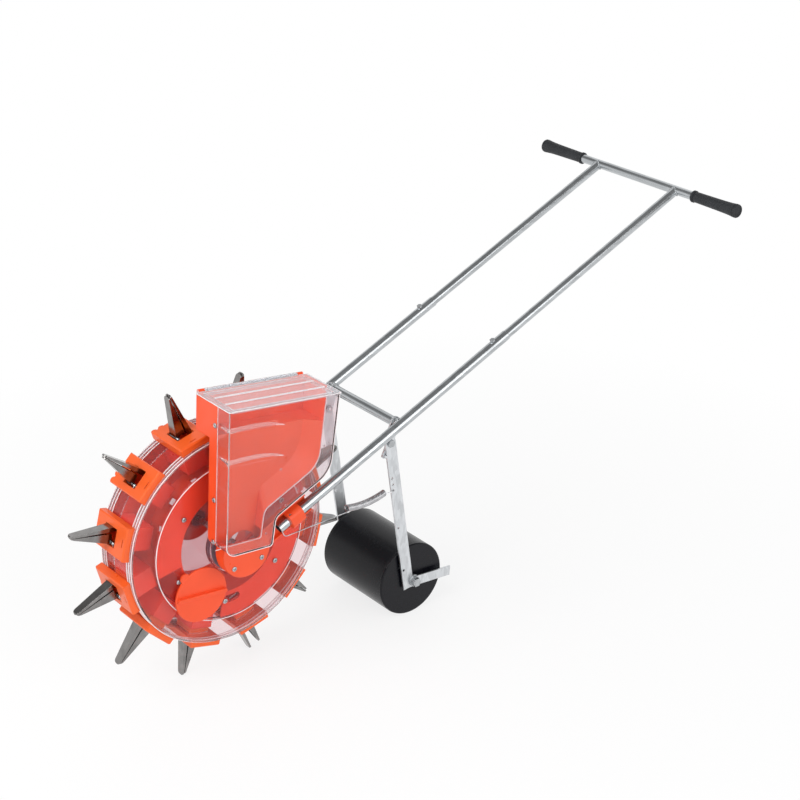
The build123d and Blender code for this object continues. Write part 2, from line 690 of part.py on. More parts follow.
def axle_nuts():
    """Nuts on both ends of the axle."""
    near = hex_y(WHEEL, NUT_RADIUS, BACK_WALL, BACK_WALL + NUT_HEIGHT)
    far = hex_y(WHEEL, NUT_RADIUS, FAR_PLATE_FAR - NUT_HEIGHT, FAR_PLATE_FAR)
    hole = rod_y(WHEEL, AXLE_RADIUS + FIT_GAP, FAR_PLATE_FAR - 2 * NUT_HEIGHT, BACK_WALL + 2 * NUT_HEIGHT)
    return [near - hole, far - hole]


def arm_channel(y_back, y_front, side):
    """Channel that a handle tube lies in: a plate with a flange along each edge."""
    length = ARM_END_STATION - ARM_START_STATION
    middle = (ARM_START_STATION + ARM_END_STATION) / 2
    width = CLAMP_HEIGHT + 2 * ARM_FLANGE_WALL
    depth = abs(y_front - y_back) + ARM_FLANGE_HEIGHT
    centre = y_back + side * depth / 2
    channel = Box(width, depth, length)
    channel -= Pos(0, side * abs(y_front - y_back), 0) * Box(CLAMP_HEIGHT, depth, length + 2 * OVERCUT)
    return tube_frame(middle, centre) * channel


def far_hub_plate():
    """Orange plate that joins the axle to the clamp of the far tube."""
    plate = side_slab(Circle(FAR_PLATE_RADIUS), FAR_PLATE_FAR, FAR_PLATE_NEAR)
    plate += arm_channel(FAR_PLATE_NEAR, FAR_PLATE_FAR, -1)
    plate += rod_y(WHEEL, AXLE_RADIUS + BOSS_WALL, FAR_PLATE_FAR, FAR_HUB_END - MOVING_GAP)
    plate -= clamp_bolt_holes(FAR_PLATE_FAR, FAR_PLATE_NEAR)
    return plate - rod_y(WHEEL, AXLE_RADIUS + FIT_GAP, FAR_PLATE_FAR - OVERCUT, FAR_HUB_END + OVERCUT)


# Handle

def clamp_bolt_places():
    """Side-view places of the two bolts of a clamp, one above its tube and one below it."""
    above = (LOWER_TUBE_RADIUS + CLAMP_HEIGHT / 2) / 2
    reach = CLAMP_LENGTH / 2 - BOLT_HEAD_RADIUS
    return [tube_place(CLAMP_STATION - reach, above), tube_place(CLAMP_STATION + reach, -above)]


def clamp_bolt_holes(y_low, y_high):
    """Holes for the bolts of a clamp between two planes."""
    hole = BOLT_RADIUS + FIT_GAP
    return [rod_y(place, hole, y_low - OVERCUT, y_high + OVERCUT) for place in clamp_bolt_places()]


def clamp_block(y_inner, side):
    """Orange saddle that holds the lower end of a handle tube in its channel."""
    y_outer = side * CLAMP_OUTER
    block = Box(CLAMP_HEIGHT, abs(y_outer - y_inner), CLAMP_LENGTH)
    outer_face = block.faces().sort_by(Axis.Y)[-1 if side > 0 else 0]
    block = fillet(outer_face.edges().filter_by(Axis.Z), CLAMP_FILLET)
    block = tube_frame(CLAMP_STATION, (y_inner + y_outer) / 2) * block
    start = CLAMP_STATION - CLAMP_LENGTH
    block -= tube_bar(LOWER_TUBE_RADIUS + FIT_GAP, start, start + 2 * CLAMP_LENGTH, side * HALF_SPACING)
    return block - clamp_bolt_holes(*sorted((y_inner, y_inner + side * CLAMP_BOLT_DEPTH)))


CLAMP_OUTER = HALF_SPACING + LOWER_TUBE_RADIUS + CLAMP_WALL
NEAR_PLATE_OUTER = BACK_WALL + ARM_PLATE_WALL


def left_tube_clamp():
    """Clamp of the hopper-side tube, in the channel of the hopper's back shell."""
    return clamp_block(NEAR_PLATE_OUTER, 1)


def right_tube_clamp():
    """Clamp of the far tube, in the channel of the far hub plate."""
    return clamp_block(FAR_PLATE_FAR, -1)


def clamp_bolts():
    """Bolts through the channels into both clamps, with their heads on the wheel side."""
    bolts = []
    for back, front, side in ((BACK_WALL, NEAR_PLATE_OUTER, 1), (FAR_PLATE_NEAR, FAR_PLATE_FAR, -1)):
        shank = sorted((back, front + side * CLAMP_BOLT_DEPTH))
        head = sorted((back, back - side * BOLT_HEAD_HEIGHT))
        for place in clamp_bolt_places():
            bolts.append(rod_y(place, BOLT_RADIUS, *shank) + hex_y(place, BOLT_HEAD_RADIUS, *head))
    return bolts


def joint_bolt_frame(y):
    """Frame at the bolt of a tube joint: its z stands off the tube, upwards."""
    return tube_frame(JOINT_STATION - JOINT_BOLT_INSET, y) * Rot(0, 90, 0)


def tube_joint_bolts():
    """Bolts that lock the upper tubes in the lower tubes, with their heads on top."""
    shank = Cylinder(BOLT_RADIUS, 2 * LOWER_TUBE_RADIUS)
    seat = Plane.XY.offset(LOWER_TUBE_RADIUS)
    head = extrude(seat * RegularPolygon(BOLT_HEAD_RADIUS, 6), amount=BOLT_HEAD_HEIGHT)
    return [joint_bolt_frame(y) * (shank + head) for y in (-HALF_SPACING, HALF_SPACING)]


def joint_bolt_hole(y):
    """Hole for the joint bolt of one tube."""
    return joint_bolt_frame(y) * Cylinder(BOLT_RADIUS + FIT_GAP, 4 * LOWER_TUBE_RADIUS)


def lower_tube(y):
    """Lower handle tube, open at its foot."""
    tube = tube_bar(LOWER_TUBE_RADIUS, TUBE_START, JOINT_STATION, y)
    tube -= tube_bar(UPPER_TUBE_RADIUS + FIT_GAP, TUBE_START - OVERCUT, JOINT_STATION + OVERCUT, y)
    hook = tube_frame(HOOK_STATION, y) * Rot(0, 90, 0) * Pos(0, 0, -LOWER_TUBE_RADIUS)
    tube -= hook * Cylinder(COIL_WIRE / 2 + FIT_GAP, LOWER_TUBE_RADIUS)
    return tube - joint_bolt_hole(y)


def upper_tube(y):
    """Upper handle tube, from inside the lower tube to the handlebar."""
    start = JOINT_STATION - JOINT_OVERLAP
    tube = tube_bar(UPPER_TUBE_RADIUS, start, BAR_STATION, y)
    tube -= tube_bar(UPPER_TUBE_RADIUS - TUBE_WALL, start - OVERCUT, BAR_STATION + OVERCUT, y)
    tube -= rod_y(tube_place(BAR_STATION), BAR_RADIUS + FIT_GAP, y - 2 * BAR_RADIUS, y + 2 * BAR_RADIUS)
    return tube - joint_bolt_hole(y)


def handlebar():
    """Straight tube across the top of the handle."""
    half = BAR_LENGTH / 2 - GRIP_END_WALL
    return ring_y(tube_place(BAR_STATION), BAR_RADIUS, BAR_RADIUS - TUBE_WALL, -half, half)


def grip(side):
    """Dark grip with a collar at its inner end, a waist, and a flared, closed outer end."""
    end = BAR_LENGTH / 2
    start = end - GRIP_LENGTH
    collar = start + GRIP_COLLAR_LENGTH
    bore = BAR_RADIUS + FIT_GAP
    floor = end - GRIP_END_WALL
    middle = (GRIP_MIDDLE_RADIUS, (collar + floor) / 2)
    profile = make_face([
        Polyline((bore, start), (GRIP_COLLAR_RADIUS, start), (GRIP_COLLAR_RADIUS, collar)),
        Line((GRIP_COLLAR_RADIUS, collar), (GRIP_WAIST, collar)),
        Spline((GRIP_WAIST, collar), middle, (GRIP_RADIUS, floor)),
        Polyline((GRIP_RADIUS, floor), (GRIP_RADIUS - GRIP_END_WALL / 2, end), (0, end), (0, floor)),
        Polyline((0, floor), (bore, floor), (bore, start)),
    ])
    body = revolve(profile, Axis.Y)
    place = tube_place(BAR_STATION)
    return Pos(place[0], 0, place[1]) * (body if side > 0 else Rot(0, 0, 180) * body)


def cross_tube():
    """Tube between the two lower tubes, shaped to them at its ends."""
    place = tube_place(CROSS_STATION)
    tube = ring_y(place, CROSS_TUBE_RADIUS, CROSS_TUBE_RADIUS - TUBE_WALL, -HALF_SPACING, HALF_SPACING)
    reach = 3 * CROSS_TUBE_RADIUS
    for y in (-HALF_SPACING, HALF_SPACING):
        tube -= tube_bar(LOWER_TUBE_RADIUS + FIT_GAP, CROSS_STATION - reach, CROSS_STATION + reach, y)
    return tube


# Hopper

def hopper_corners(rise=0.0, ramp=0.0):
    """Corners of the hopper's side view with their radii; rise lifts the top edge, ramp draws the rear in."""
    front_angle = 90 + HOPPER_FRONT_LEAN
    rear_angle = 90 + HOPPER_REAR_LEAN
    top_angle = 180 + HOPPER_TOP_SLOPE
    front_top = (HOPPER_FRONT, HOPPER_TOP)
    rear_top = step_from(front_top, HOPPER_TOP_LENGTH - ramp, top_angle)
    slope_start = tube_place(CLAMP_STATION, HOPPER_TUBE_GAP + ramp)
    rear_low = meet(rear_top, rear_angle, slope_start, TUBE_DIRECTION)
    floor_rear = (NECK_REAR, FLOOR_LEVEL)
    neck_top = meet(slope_start, TUBE_DIRECTION, floor_rear, 90 + NECK_LEAN)
    toe = meet(front_top, front_angle, floor_rear, FLOOR_SLOPE)
    return [
        (step_from(front_top, rise, front_angle), 0), (step_from(rear_top, rise, rear_angle), 0),
        (rear_low, HOPPER_REAR_ROUND + ramp), (neck_top, HOPPER_NECK_ROUND), (floor_rear, HOPPER_CORNER),
        (toe, HOPPER_TOE_ROUND),
    ]


def hopper_profile(ramp=0.0):
    """Side view of the hopper."""
    return rounded_face(hopper_corners(ramp=ramp))


def hopper_cavity(ramp=0.0):
    """Side view of the inside of the hopper, open at the top."""
    return offset(rounded_face(hopper_corners(HOPPER_LEDGE / 2, ramp)), amount=-HOPPER_WALL)


def ledge_faces():
    """Side views of the upper box that reaches over the rim: its outside and its open inside."""
    corners = [place for place, _ in hopper_corners()]
    front_low = step_from(corners[0], -HOPPER_LEDGE, 90 + HOPPER_FRONT_LEAN)
    rear_low = step_from(corners[1], -HOPPER_LEDGE, 90 + HOPPER_REAR_LEAN)
    raised = [place for place, _ in hopper_corners(rise=HOPPER_LEDGE / 2)]
    outside = make_face(Polyline(corners[0], corners[1], rear_low, front_low, close=True))
    opened = make_face(Polyline(raised[0], raised[1], rear_low, front_low, close=True))
    return outside, offset(opened, amount=-HOPPER_WALL)


def seam_screw_frames():
    """Frames on the front wall of the back shell, z outwards, one for each seam screw."""
    y = HOPPER_SEAM - SEAM_SCREW_INSET
    frames = []
    for drop in SEAM_SCREW_DROPS:
        place = step_from((HOPPER_FRONT, HOPPER_TOP), -drop, 90 + HOPPER_FRONT_LEAN)
        frames.append(Pos(place[0], y, place[1]) * Rot(0, 90 - HOPPER_FRONT_LEAN, 0))
    return frames


def foot_screw_places():
    """Side-view places of the screws on the foot of the back shell."""
    return [polar(FOOT_SCREW_RADIUS, angle) for angle in FOOT_SCREW_ANGLES]


def hopper_back_shell():
    """Orange half of the hopper: back wall, round foot on the axle, upper box and arm to the clamp."""
    outside, inside = ledge_faces()
    shell = side_funnel(hopper_profile(HOPPER_RAMP), hopper_profile(), BACK_WALL, HOPPER_SEAM)
    shell += side_slab(Circle(FOOT_RADIUS), BACK_WALL, HOPPER_SEAM)
    shell += arm_channel(BACK_WALL, NEAR_PLATE_OUTER, 1)
    shell += side_slab(outside, HOPPER_FAR, HOPPER_SEAM)
    shell += lid_lugs()
    shell -= side_funnel(hopper_cavity(HOPPER_RAMP), hopper_cavity(), BACK_WALL + HOPPER_WALL, HOPPER_SEAM)
    foot_inside = Circle(FOOT_RADIUS - HOPPER_WALL)
    shell -= side_slab(foot_inside, BACK_WALL + HOPPER_WALL, HOPPER_SEAM - HOPPER_WALL)
    shell -= side_slab(inside, HOPPER_FAR + HOPPER_WALL, HOPPER_SEAM + OVERCUT)
    shell -= rod_y(WHEEL, OUTLET_RADIUS, BACK_WALL - OVERCUT, BACK_WALL + 2 * ARM_PLATE_WALL)
    shell -= clamp_bolt_holes(BACK_WALL, NEAR_PLATE_OUTER)
    shell -= [frame * Cylinder(SCREW_RADIUS + FIT_GAP, 6 * HOPPER_WALL) for frame in seam_screw_frames()]
    for place in foot_screw_places():
        shell -= rod_y(place, SCREW_RADIUS + FIT_GAP, HOPPER_SEAM - 2 * HOPPER_WALL, HOPPER_SEAM + OVERCUT)
    return shell


def hopper_front_shell():
    """Clear half of the hopper, with two level beads round its front corner."""
    shell = side_slab(hopper_profile(), HOPPER_SEAM + FIT_GAP, HOPPER_NEAR)
    shell += level_beads()
    return shell - side_slab(hopper_cavity(), HOPPER_SEAM - OVERCUT, HOPPER_NEAR - HOPPER_WALL)


def level_beads():
    """Round beads that mark the fill level on the near wall and the front wall of the clear half."""
    depth = BEAD_RADIUS - BEAD_HEIGHT
    beads = []
    for drop in BEAD_DROPS:
        place = step_from((HOPPER_FRONT, HOPPER_TOP), -drop, 90 + HOPPER_FRONT_LEAN)
        corner = step_from(place, -depth, -HOPPER_FRONT_LEAN)
        end = step_from(corner, BEAD_LENGTH, 180 + HOPPER_TOP_SLOPE)
        near = HOPPER_NEAR - depth
        start = HOPPER_SEAM + BEAD_RADIUS + FIT_GAP
        beads.append(wire((corner[0], near, corner[1]), (end[0], near, end[1]), BEAD_RADIUS))
        beads.append(wire((corner[0], start, corner[1]), (corner[0], near, corner[1]), BEAD_RADIUS))
    return beads


def hopper_screws():
    """Pan-head screws on the front seam and on the foot."""
    screws = []
    for frame in seam_screw_frames():
        screw = Pos(0, 0, -HOPPER_WALL) * Cylinder(SCREW_RADIUS, 2 * HOPPER_WALL)
        head = Pos(0, 0, SCREW_HEAD_HEIGHT / 2) * Cylinder(SCREW_HEAD_RADIUS, SCREW_HEAD_HEIGHT)
        screws.append(frame * (screw + head))
    for place in foot_screw_places():
        screw = rod_y(place, SCREW_RADIUS, HOPPER_SEAM - 2 * HOPPER_WALL, HOPPER_SEAM)
        screws.append(screw + rod_y(place, SCREW_HEAD_RADIUS, HOPPER_SEAM, HOPPER_SEAM + SCREW_HEAD_HEIGHT))
    return screws


# Lid, drawn in a frame at the front top corner: x runs up the top edge to the front, z stands off it

LID_FRAME = Pos(HOPPER_FRONT, 0, HOPPER_TOP) * Rot(0, -HOPPER_TOP_SLOPE, 0)
LID_AXIS_Y = HOPPER_FAR - LID_BARREL_RADIUS - MOVING_GAP
LID_AXIS_Z = MOVING_GAP + LID_WALL / 2


def along_lid(x_low, x_high, radius):
    """Round bar along the lid's hinge line."""
    bar = Pos((x_low + x_high) / 2, LID_AXIS_Y, LID_AXIS_Z) * Rot(0, 90, 0)
    return bar * Cylinder(radius, x_high - x_low)


def lid_lug_spans():
    """Where the two hinge lugs of the back shell lie along the top edge."""
    front = -LID_LUG_INSET
    rear = -HOPPER_TOP_LENGTH + LID_LUG_INSET
    return (front - LID_LUG_LENGTH, front), (rear, rear + LID_LUG_LENGTH)


def lid_lugs():
    """Hinge lugs on the far wall of the back shell."""
    lugs = []
    depth = HOPPER_FAR - LID_AXIS_Y
    height = 3 * LID_BARREL_RADIUS
    for low, high in lid_lug_spans():
        middle = (low + high) / 2
        lug = along_lid(low, high, LID_BARREL_RADIUS)
        lug += Pos(middle, LID_AXIS_Y + depth / 2, LID_AXIS_Z - height / 2) * Box(high - low, depth, height)
        lug -= along_lid(low - OVERCUT, high + OVERCUT, LID_PIN_RADIUS + FIT_GAP)
        lugs.append(LID_FRAME * lug)
    return lugs


def hopper_lid():
    """Clear lid with a lip inside the mouth, two ribs on top and a hinge barrel."""
    (_, front_lug), (rear_lug, _) = lid_lug_spans()
    front_end = front_lug - LID_LUG_LENGTH - MOVING_GAP
    rear_end = rear_lug + LID_LUG_LENGTH + MOVING_GAP
    length = HOPPER_TOP_LENGTH + 2 * LID_OVERHANG
    near = HOPPER_NEAR + LID_OVERHANG
    far = HOPPER_FAR + HOPPER_WALL / 2
    level = MOVING_GAP + LID_WALL / 2
    middle_x = -HOPPER_TOP_LENGTH / 2
    lid = Pos(middle_x, (near + far) / 2, level) * Box(length, near - far, LID_WALL)
    lip_length = HOPPER_TOP_LENGTH - 2 * LID_LIP_INSET
    lip_near = HOPPER_NEAR - 2 * HOPPER_WALL
    lip_width = lip_near - HOPPER_FAR - 3 * HOPPER_WALL
    lip = Pos(middle_x, lip_near - lip_width / 2, level - LID_LIP / 2)
    lid += lip * Box(lip_length, lip_width, LID_LIP)
    lid -= lip * Pos(0, 0, -LID_WALL / 2) * Box(lip_length - 2 * LID_WALL, lip_width - 2 * LID_WALL, LID_LIP)
    for share in LID_RIB_PLACES:
        rib_y = far + (near - far) * share
        rib = Pos(middle_x, rib_y, level + LID_WALL / 2 + LID_RIB_HEIGHT / 2)
        lid += rib * Box(HOPPER_TOP_LENGTH - 2 * LID_RIB_INSET, LID_RIB_WIDTH, LID_RIB_HEIGHT)
    tongue_x = (front_end + rear_end) / 2
    tongue_y = (LID_AXIS_Y + far) / 2
    lid += Pos(tongue_x, tongue_y, level) * Box(front_end - rear_end, far - LID_AXIS_Y, LID_WALL)
    lid += along_lid(rear_end, front_end, LID_BARREL_RADIUS)
    lid -= along_lid(rear_end - OVERCUT, front_end + OVERCUT, LID_PIN_RADIUS + RUNNING_GAP)
    return LID_FRAME * lid


def lid_hinge_pin():
    """Steel pin of the lid."""
    (_, front), (rear, _) = lid_lug_spans()
    return LID_FRAME * along_lid(rear, front, LID_PIN_RADIUS)


# Press roller and its arms

def roller_drum():
    """Black tube of the press roller."""
    half = ROLLER_LENGTH / 2 - ROLLER_CAP_WALL
    return ring_y(ROLLER_PLACE, ROLLER_RADIUS, ROLLER_RADIUS - ROLLER_WALL, -half, half)


def roller_end_caps():
    """Flat ends of the roller, each with a hub for its bush."""
    caps = []
    bush = ROLLER_AXLE_RADIUS + RUNNING_GAP + BUSH_WALL
    end = ROLLER_LENGTH / 2
    for side in (-1, 1):
        inner = end - ROLLER_CAP_WALL
        cap = rod_y(ROLLER_PLACE, ROLLER_RADIUS, inner, end)
        cap = fillet(cap.edges().filter_by(GeomType.CIRCLE).sort_by(Axis.Y)[-1], ROLLER_EDGE)
        cap += rod_y(ROLLER_PLACE, bush + HUB_TUBE_WALL, end - BUSH_LENGTH, end)
        cap += rod_y(ROLLER_PLACE, ROLLER_RADIUS - ROLLER_WALL - FIT_GAP, inner - ROLLER_CAP_WALL / 2, inner)
        cap -= rod_y(ROLLER_PLACE, bush + FIT_GAP, end - BUSH_LENGTH - OVERCUT, end + OVERCUT)
        caps.append(cap if side > 0 else mirror(cap, Plane.XZ))
    return caps


def roller_bushes():
    """Bushes that run on the roller axle."""
    outer = ROLLER_AXLE_RADIUS + RUNNING_GAP + BUSH_WALL
    end = ROLLER_LENGTH / 2
    bush = ring_y(ROLLER_PLACE, outer, ROLLER_AXLE_RADIUS + RUNNING_GAP, end - BUSH_LENGTH, end)
    return [bush, mirror(bush, Plane.XZ)]


SCRAPER_OUTER = ARM_OUTER + SCRAPER_WALL
NUT_OUTER = SCRAPER_OUTER + WASHER_WALL + NUT_HEIGHT


def roller_axle():
    """Steel rod through the arms, with collars that keep the roller off them."""
    collar = ROLLER_AXLE_RADIUS + BUSH_WALL
    rod = rod_y(ROLLER_PLACE, ROLLER_AXLE_RADIUS, -NUT_OUTER, NUT_OUTER)
    low = ROLLER_LENGTH / 2 + MOVING_GAP
    spacer = rod_y(ROLLER_PLACE, collar, low, ARM_INNER)
    return rod + [spacer, mirror(spacer, Plane.XZ)]


def roller_axle_nuts():
    """Washers and nuts on both ends of the roller axle."""
    low = SCRAPER_OUTER
    nut = rod_y(ROLLER_PLACE, NUT_RADIUS + WASHER_WALL, low, low + WASHER_WALL)
    nut += hex_y(ROLLER_PLACE, NUT_RADIUS, low + WASHER_WALL, NUT_OUTER)
    nut -= rod_y(ROLLER_PLACE, ROLLER_AXLE_RADIUS + FIT_GAP, low - OVERCUT, NUT_OUTER + OVERCUT)
    return [nut, mirror(nut, Plane.XZ)]


ARM_LENGTH = hypot(PIVOT_PLACE[0] - ARM_FOOT[0], PIVOT_PLACE[1] - ARM_FOOT[1])
ARM_ANGLE = 180 + degrees(asin((PIVOT_PLACE[1] - ARM_FOOT[1]) / ARM_LENGTH))


def arm_place(along, forward=0.0):
    """Side-view place on a roller arm, from its pivot down, and off its centre line."""
    return step_from(step_from(PIVOT_PLACE, along, ARM_ANGLE), forward, ARM_ANGLE + 90)


def roller_arm(side):
    """Flat bar from the pivot lug down past the roller axle, with a row of holes and an ear for the axle."""
    low, high = sorted((side * ARM_INNER, side * ARM_OUTER))
    foot = Pos(*ARM_FOOT) * Rot(0, 0, ARM_ANGLE) * Rectangle(ARM_WIDTH, ARM_WIDTH)
    ear = bar_face(ARM_FOOT, ROLLER_PLACE, ARM_WIDTH)
    arm = side_slab(bar_face(PIVOT_PLACE, ARM_FOOT, ARM_WIDTH) + foot + ear, low, high)
    arm -= rod_y(PIVOT_PLACE, PIVOT_RADIUS + RUNNING_GAP, low - OVERCUT, high + OVERCUT)
    arm -= rod_y(ROLLER_PLACE, ROLLER_AXLE_RADIUS + FIT_GAP, low - OVERCUT, high + OVERCUT)
    for along in ARM_SPRING_HOLES + ARM_SPARE_HOLES:
        arm -= rod_y(arm_place(along, ARM_HOLE_FORWARD), ARM_HOLE_RADIUS, low - OVERCUT, high + OVERCUT)
    return arm


LUG_OUTER = ARM_INNER - MOVING_GAP
LUG_INNER = LUG_OUTER - LUG_WALL


def stop_place():
    """Side-view place of the stop that the arm rests against."""
    return arm_place(STOP_DROP, ARM_WIDTH / 2 + STOP_RADIUS + RUNNING_GAP)


def pivot_lugs():
    """Plates welded to the cross tube, each with a stop for its arm."""
    cross = tube_place(CROSS_STATION)
    lug = side_slab(bar_face(cross, PIVOT_PLACE, LUG_WIDTH), LUG_INNER, LUG_OUTER)
    lug += side_slab(bar_face(PIVOT_PLACE, stop_place(), 3 * STOP_RADIUS), LUG_INNER, LUG_OUTER)
    lug += rod_y(stop_place(), STOP_RADIUS, LUG_INNER, ARM_OUTER)
    lug -= rod_y(cross, CROSS_TUBE_RADIUS + FIT_GAP, LUG_INNER - OVERCUT, LUG_OUTER + OVERCUT)
    lug -= rod_y(PIVOT_PLACE, PIVOT_RADIUS + FIT_GAP, LUG_INNER - OVERCUT, LUG_OUTER + OVERCUT)
    return [lug, mirror(lug, Plane.XZ)]


def arm_pivot_bolts():
    """Bolts that the arms swing on, with a head outside and a nut inside."""
    head = ARM_OUTER + MOVING_GAP
    bolt = rod_y(PIVOT_PLACE, PIVOT_RADIUS, LUG_INNER - BOLT_HEAD_HEIGHT, head)
    bolt += hex_y(PIVOT_PLACE, 2 * PIVOT_RADIUS, head, head + BOLT_HEAD_HEIGHT)
    bolt += hex_y(PIVOT_PLACE, 2 * PIVOT_RADIUS, LUG_INNER - BOLT_HEAD_HEIGHT, LUG_INNER)
    return [bolt, mirror(bolt, Plane.XZ)]


SCRAPER_FRAME = Pos(ROLLER_PLACE[0], 0, ROLLER_PLACE[1]) * Rot(0, -SCRAPER_TILT, 0)


def scraper_arms():
    """Flat bars from the axle back past the roller, outside the roller arms."""
    length = ROLLER_RADIUS + SCRAPER_REACH
    bar = Pos(-length / 2, 0) * Rectangle(length, SCRAPER_WIDTH) + Circle(SCRAPER_WIDTH / 2)
    arm = side_slab(bar - Circle(ROLLER_AXLE_RADIUS + FIT_GAP), ARM_OUTER, SCRAPER_OUTER)
    return [SCRAPER_FRAME * arm, SCRAPER_FRAME * mirror(arm, Plane.XZ)]


def scraper_blade():
    """Blade between the scraper arms, along their lower edges, with its front edge just off the roller."""
    length = SCRAPER_REACH - SCRAPER_GAP
    level = (SCRAPER_WALL - SCRAPER_WIDTH) / 2
    blade = Box(length, 2 * ARM_OUTER, SCRAPER_WALL)
    return SCRAPER_FRAME * Pos(-ROLLER_RADIUS - SCRAPER_GAP - length / 2, 0, level) * blade


# Tension springs

def tension_spring(side):
    """Closed coil near the arm, a hook through the arm and a long leg forward to the foot of the tube.

    The hook and the leg both leave the coil near its lowest line.
    """
    hole = arm_place(ARM_SPRING_HOLES[-1], ARM_HOLE_FORWARD)
    low = tube_place(HOOK_STATION, -HOOK_DROP)
    high = tube_place(HOOK_STATION, -HOOK_REACH)
    radius = COIL_WIRE / 2
    hook = Vector(hole[0], side * (ARM_OUTER + HOOK_STANDOFF), hole[1])
    bend = Vector(low[0], side * HALF_SPACING, low[1])
    pull = (bend - hook).normalized()
    above = (Vector(0, 0, 1) - pull * pull.Z).normalized()
    coil_start = hook + pull * COIL_SETBACK
    coil_end = coil_start + pull * COIL_LENGTH
    through = Vector(hole[0], side * (ARM_INNER - COIL_WIRE), hole[1])
    into_tube = Vector(high[0], side * HALF_SPACING, high[1])
    coil = Plane(origin=coil_start + above * (COIL_RADIUS - COIL_WIRE), z_dir=pull) * Cylinder(
        COIL_RADIUS, COIL_LENGTH, align=(Align.CENTER, Align.CENTER, Align.MIN))
    legs = [wire(hook, coil_start, radius), wire(hook, through, radius), wire(coil_end, bend, radius)]
    return coil + legs + wire(bend, into_tube, radius)


def build():
    """All nodes by name, about the wheel centre."""
    nodes = {
        "handlebar": handlebar(),
        "left_grip": grip(1),
        "right_grip": grip(-1),
        "left_upper_tube": upper_tube(HALF_SPACING),
        "right_upper_tube": upper_tube(-HALF_SPACING),
        "left_lower_tube": lower_tube(HALF_SPACING),
        "right_lower_tube": lower_tube(-HALF_SPACING),
        "tube_joint_bolts": tube_joint_bolts(),
        "cross_tube": cross_tube(),
        "pivot_lugs": pivot_lugs(),
        "arm_pivot_bolts": arm_pivot_bolts(),
        "left_tube_clamp": left_tube_clamp(),
        "right_tube_clamp": right_tube_clamp(),
        "clamp_bolts": clamp_bolts(),
        "far_hub_plate": far_hub_plate(),
        "axle": axle(),
        "axle_nuts": axle_nuts(),
        "feed_spout": feed_spout(),
        "hopper_back_shell": hopper_back_shell(),
        "hopper_front_shell": hopper_front_shell(),
        "hopper_screws": hopper_screws(),
        "lid_hinge_pin": lid_hinge_pin(),
        "hopper_lid": hopper_lid(),
        "near_disc": near_disc(),
        "far_disc": far_disc(),
        "near_bearing": near_bearing(),
        "far_bearing": far_bearing(),
        "seed_ring": seed_ring(),
        "seed_chutes": seed_chutes(),
        "drum_screws": drum_screws(),
        "opener_bases": at_openers(opener_base()),
        "fixed_jaws": at_openers(fixed_jaw()),
        "jaw_hinge_pins": at_openers(jaw_hinge_pin()),
        "jaw_springs": at_openers(jaw_spring()),
        "cleanout_cap": cleanout_cap(),
        "cap_gasket": cap_gasket(),
        "left_roller_arm": roller_arm(1),
        "right_roller_arm": roller_arm(-1),
        "roller_axle": roller_axle(),
        "roller_axle_nuts": roller_axle_nuts(),
        "scraper_arms": scraper_arms(),
        "scraper_blade": scraper_blade(),
        "roller_drum": roller_drum(),
        "roller_end_caps": roller_end_caps(),
        "roller_bushes": roller_bushes(),
        "left_tension_spring": tension_spring(1),
        "right_tension_spring": tension_spring(-1),
    }
    for number in range(1, OPENER_COUNT + 1):
        nodes[f"moving_jaw_{number:02d}"] = placed_moving_jaw(number)
    return nodes


def solids_of(made):
    """Solids of one node, which is a shape or a list of shapes."""
    shapes = made if isinstance(made, list) else [made]
    return [solid for shape in shapes for solid in shape.solids()]


def write_parts(nodes):
    """Move the machine onto the ground, centred on its box, and write one file for each node."""
    os.makedirs("parts", exist_ok=True)
    solids = {name: solids_of(made) for name, made in nodes.items()}
    box = Compound([solid for group in solids.values() for solid in group]).bounding_box()
    shift = Pos(-box.center().X, -box.center().Y, -box.min.Z)
    for name, group in solids.items():
        moved = [shift * solid for solid in group]
        export_step(moved[0] if len(moved) == 1 else Compound(moved), f"parts/{name}.step")


if __name__ == "__main__":
    write_parts(build())
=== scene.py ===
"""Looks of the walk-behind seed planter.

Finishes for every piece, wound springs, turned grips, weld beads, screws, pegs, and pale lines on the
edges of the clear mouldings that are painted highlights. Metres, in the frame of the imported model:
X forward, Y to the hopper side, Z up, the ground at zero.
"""

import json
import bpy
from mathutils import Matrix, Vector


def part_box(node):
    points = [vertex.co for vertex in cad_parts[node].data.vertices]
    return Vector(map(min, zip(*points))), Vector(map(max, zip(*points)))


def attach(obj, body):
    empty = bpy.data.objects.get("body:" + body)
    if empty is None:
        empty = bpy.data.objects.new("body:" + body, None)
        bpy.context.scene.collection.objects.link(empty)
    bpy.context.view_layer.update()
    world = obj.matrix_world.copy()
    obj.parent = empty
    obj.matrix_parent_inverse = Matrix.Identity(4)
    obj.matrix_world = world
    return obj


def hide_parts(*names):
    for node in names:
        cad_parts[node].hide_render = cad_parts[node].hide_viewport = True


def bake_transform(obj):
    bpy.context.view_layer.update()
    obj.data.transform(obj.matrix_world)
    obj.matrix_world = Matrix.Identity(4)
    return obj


bl_info = {
    "name": "Seed planter looks",
    "version": (1, 0, 0),
    "blender": (4, 5, 0),
    "location": "View3D > Sidebar > Planter",
    "description": "Finishes, springs, grips, welds, screws, pegs, pale edges and a studio",
    "category": "Object",
}

from math import cos, pi, radians, sin

import bpy
import numpy as np
from mathutils import Matrix, Vector

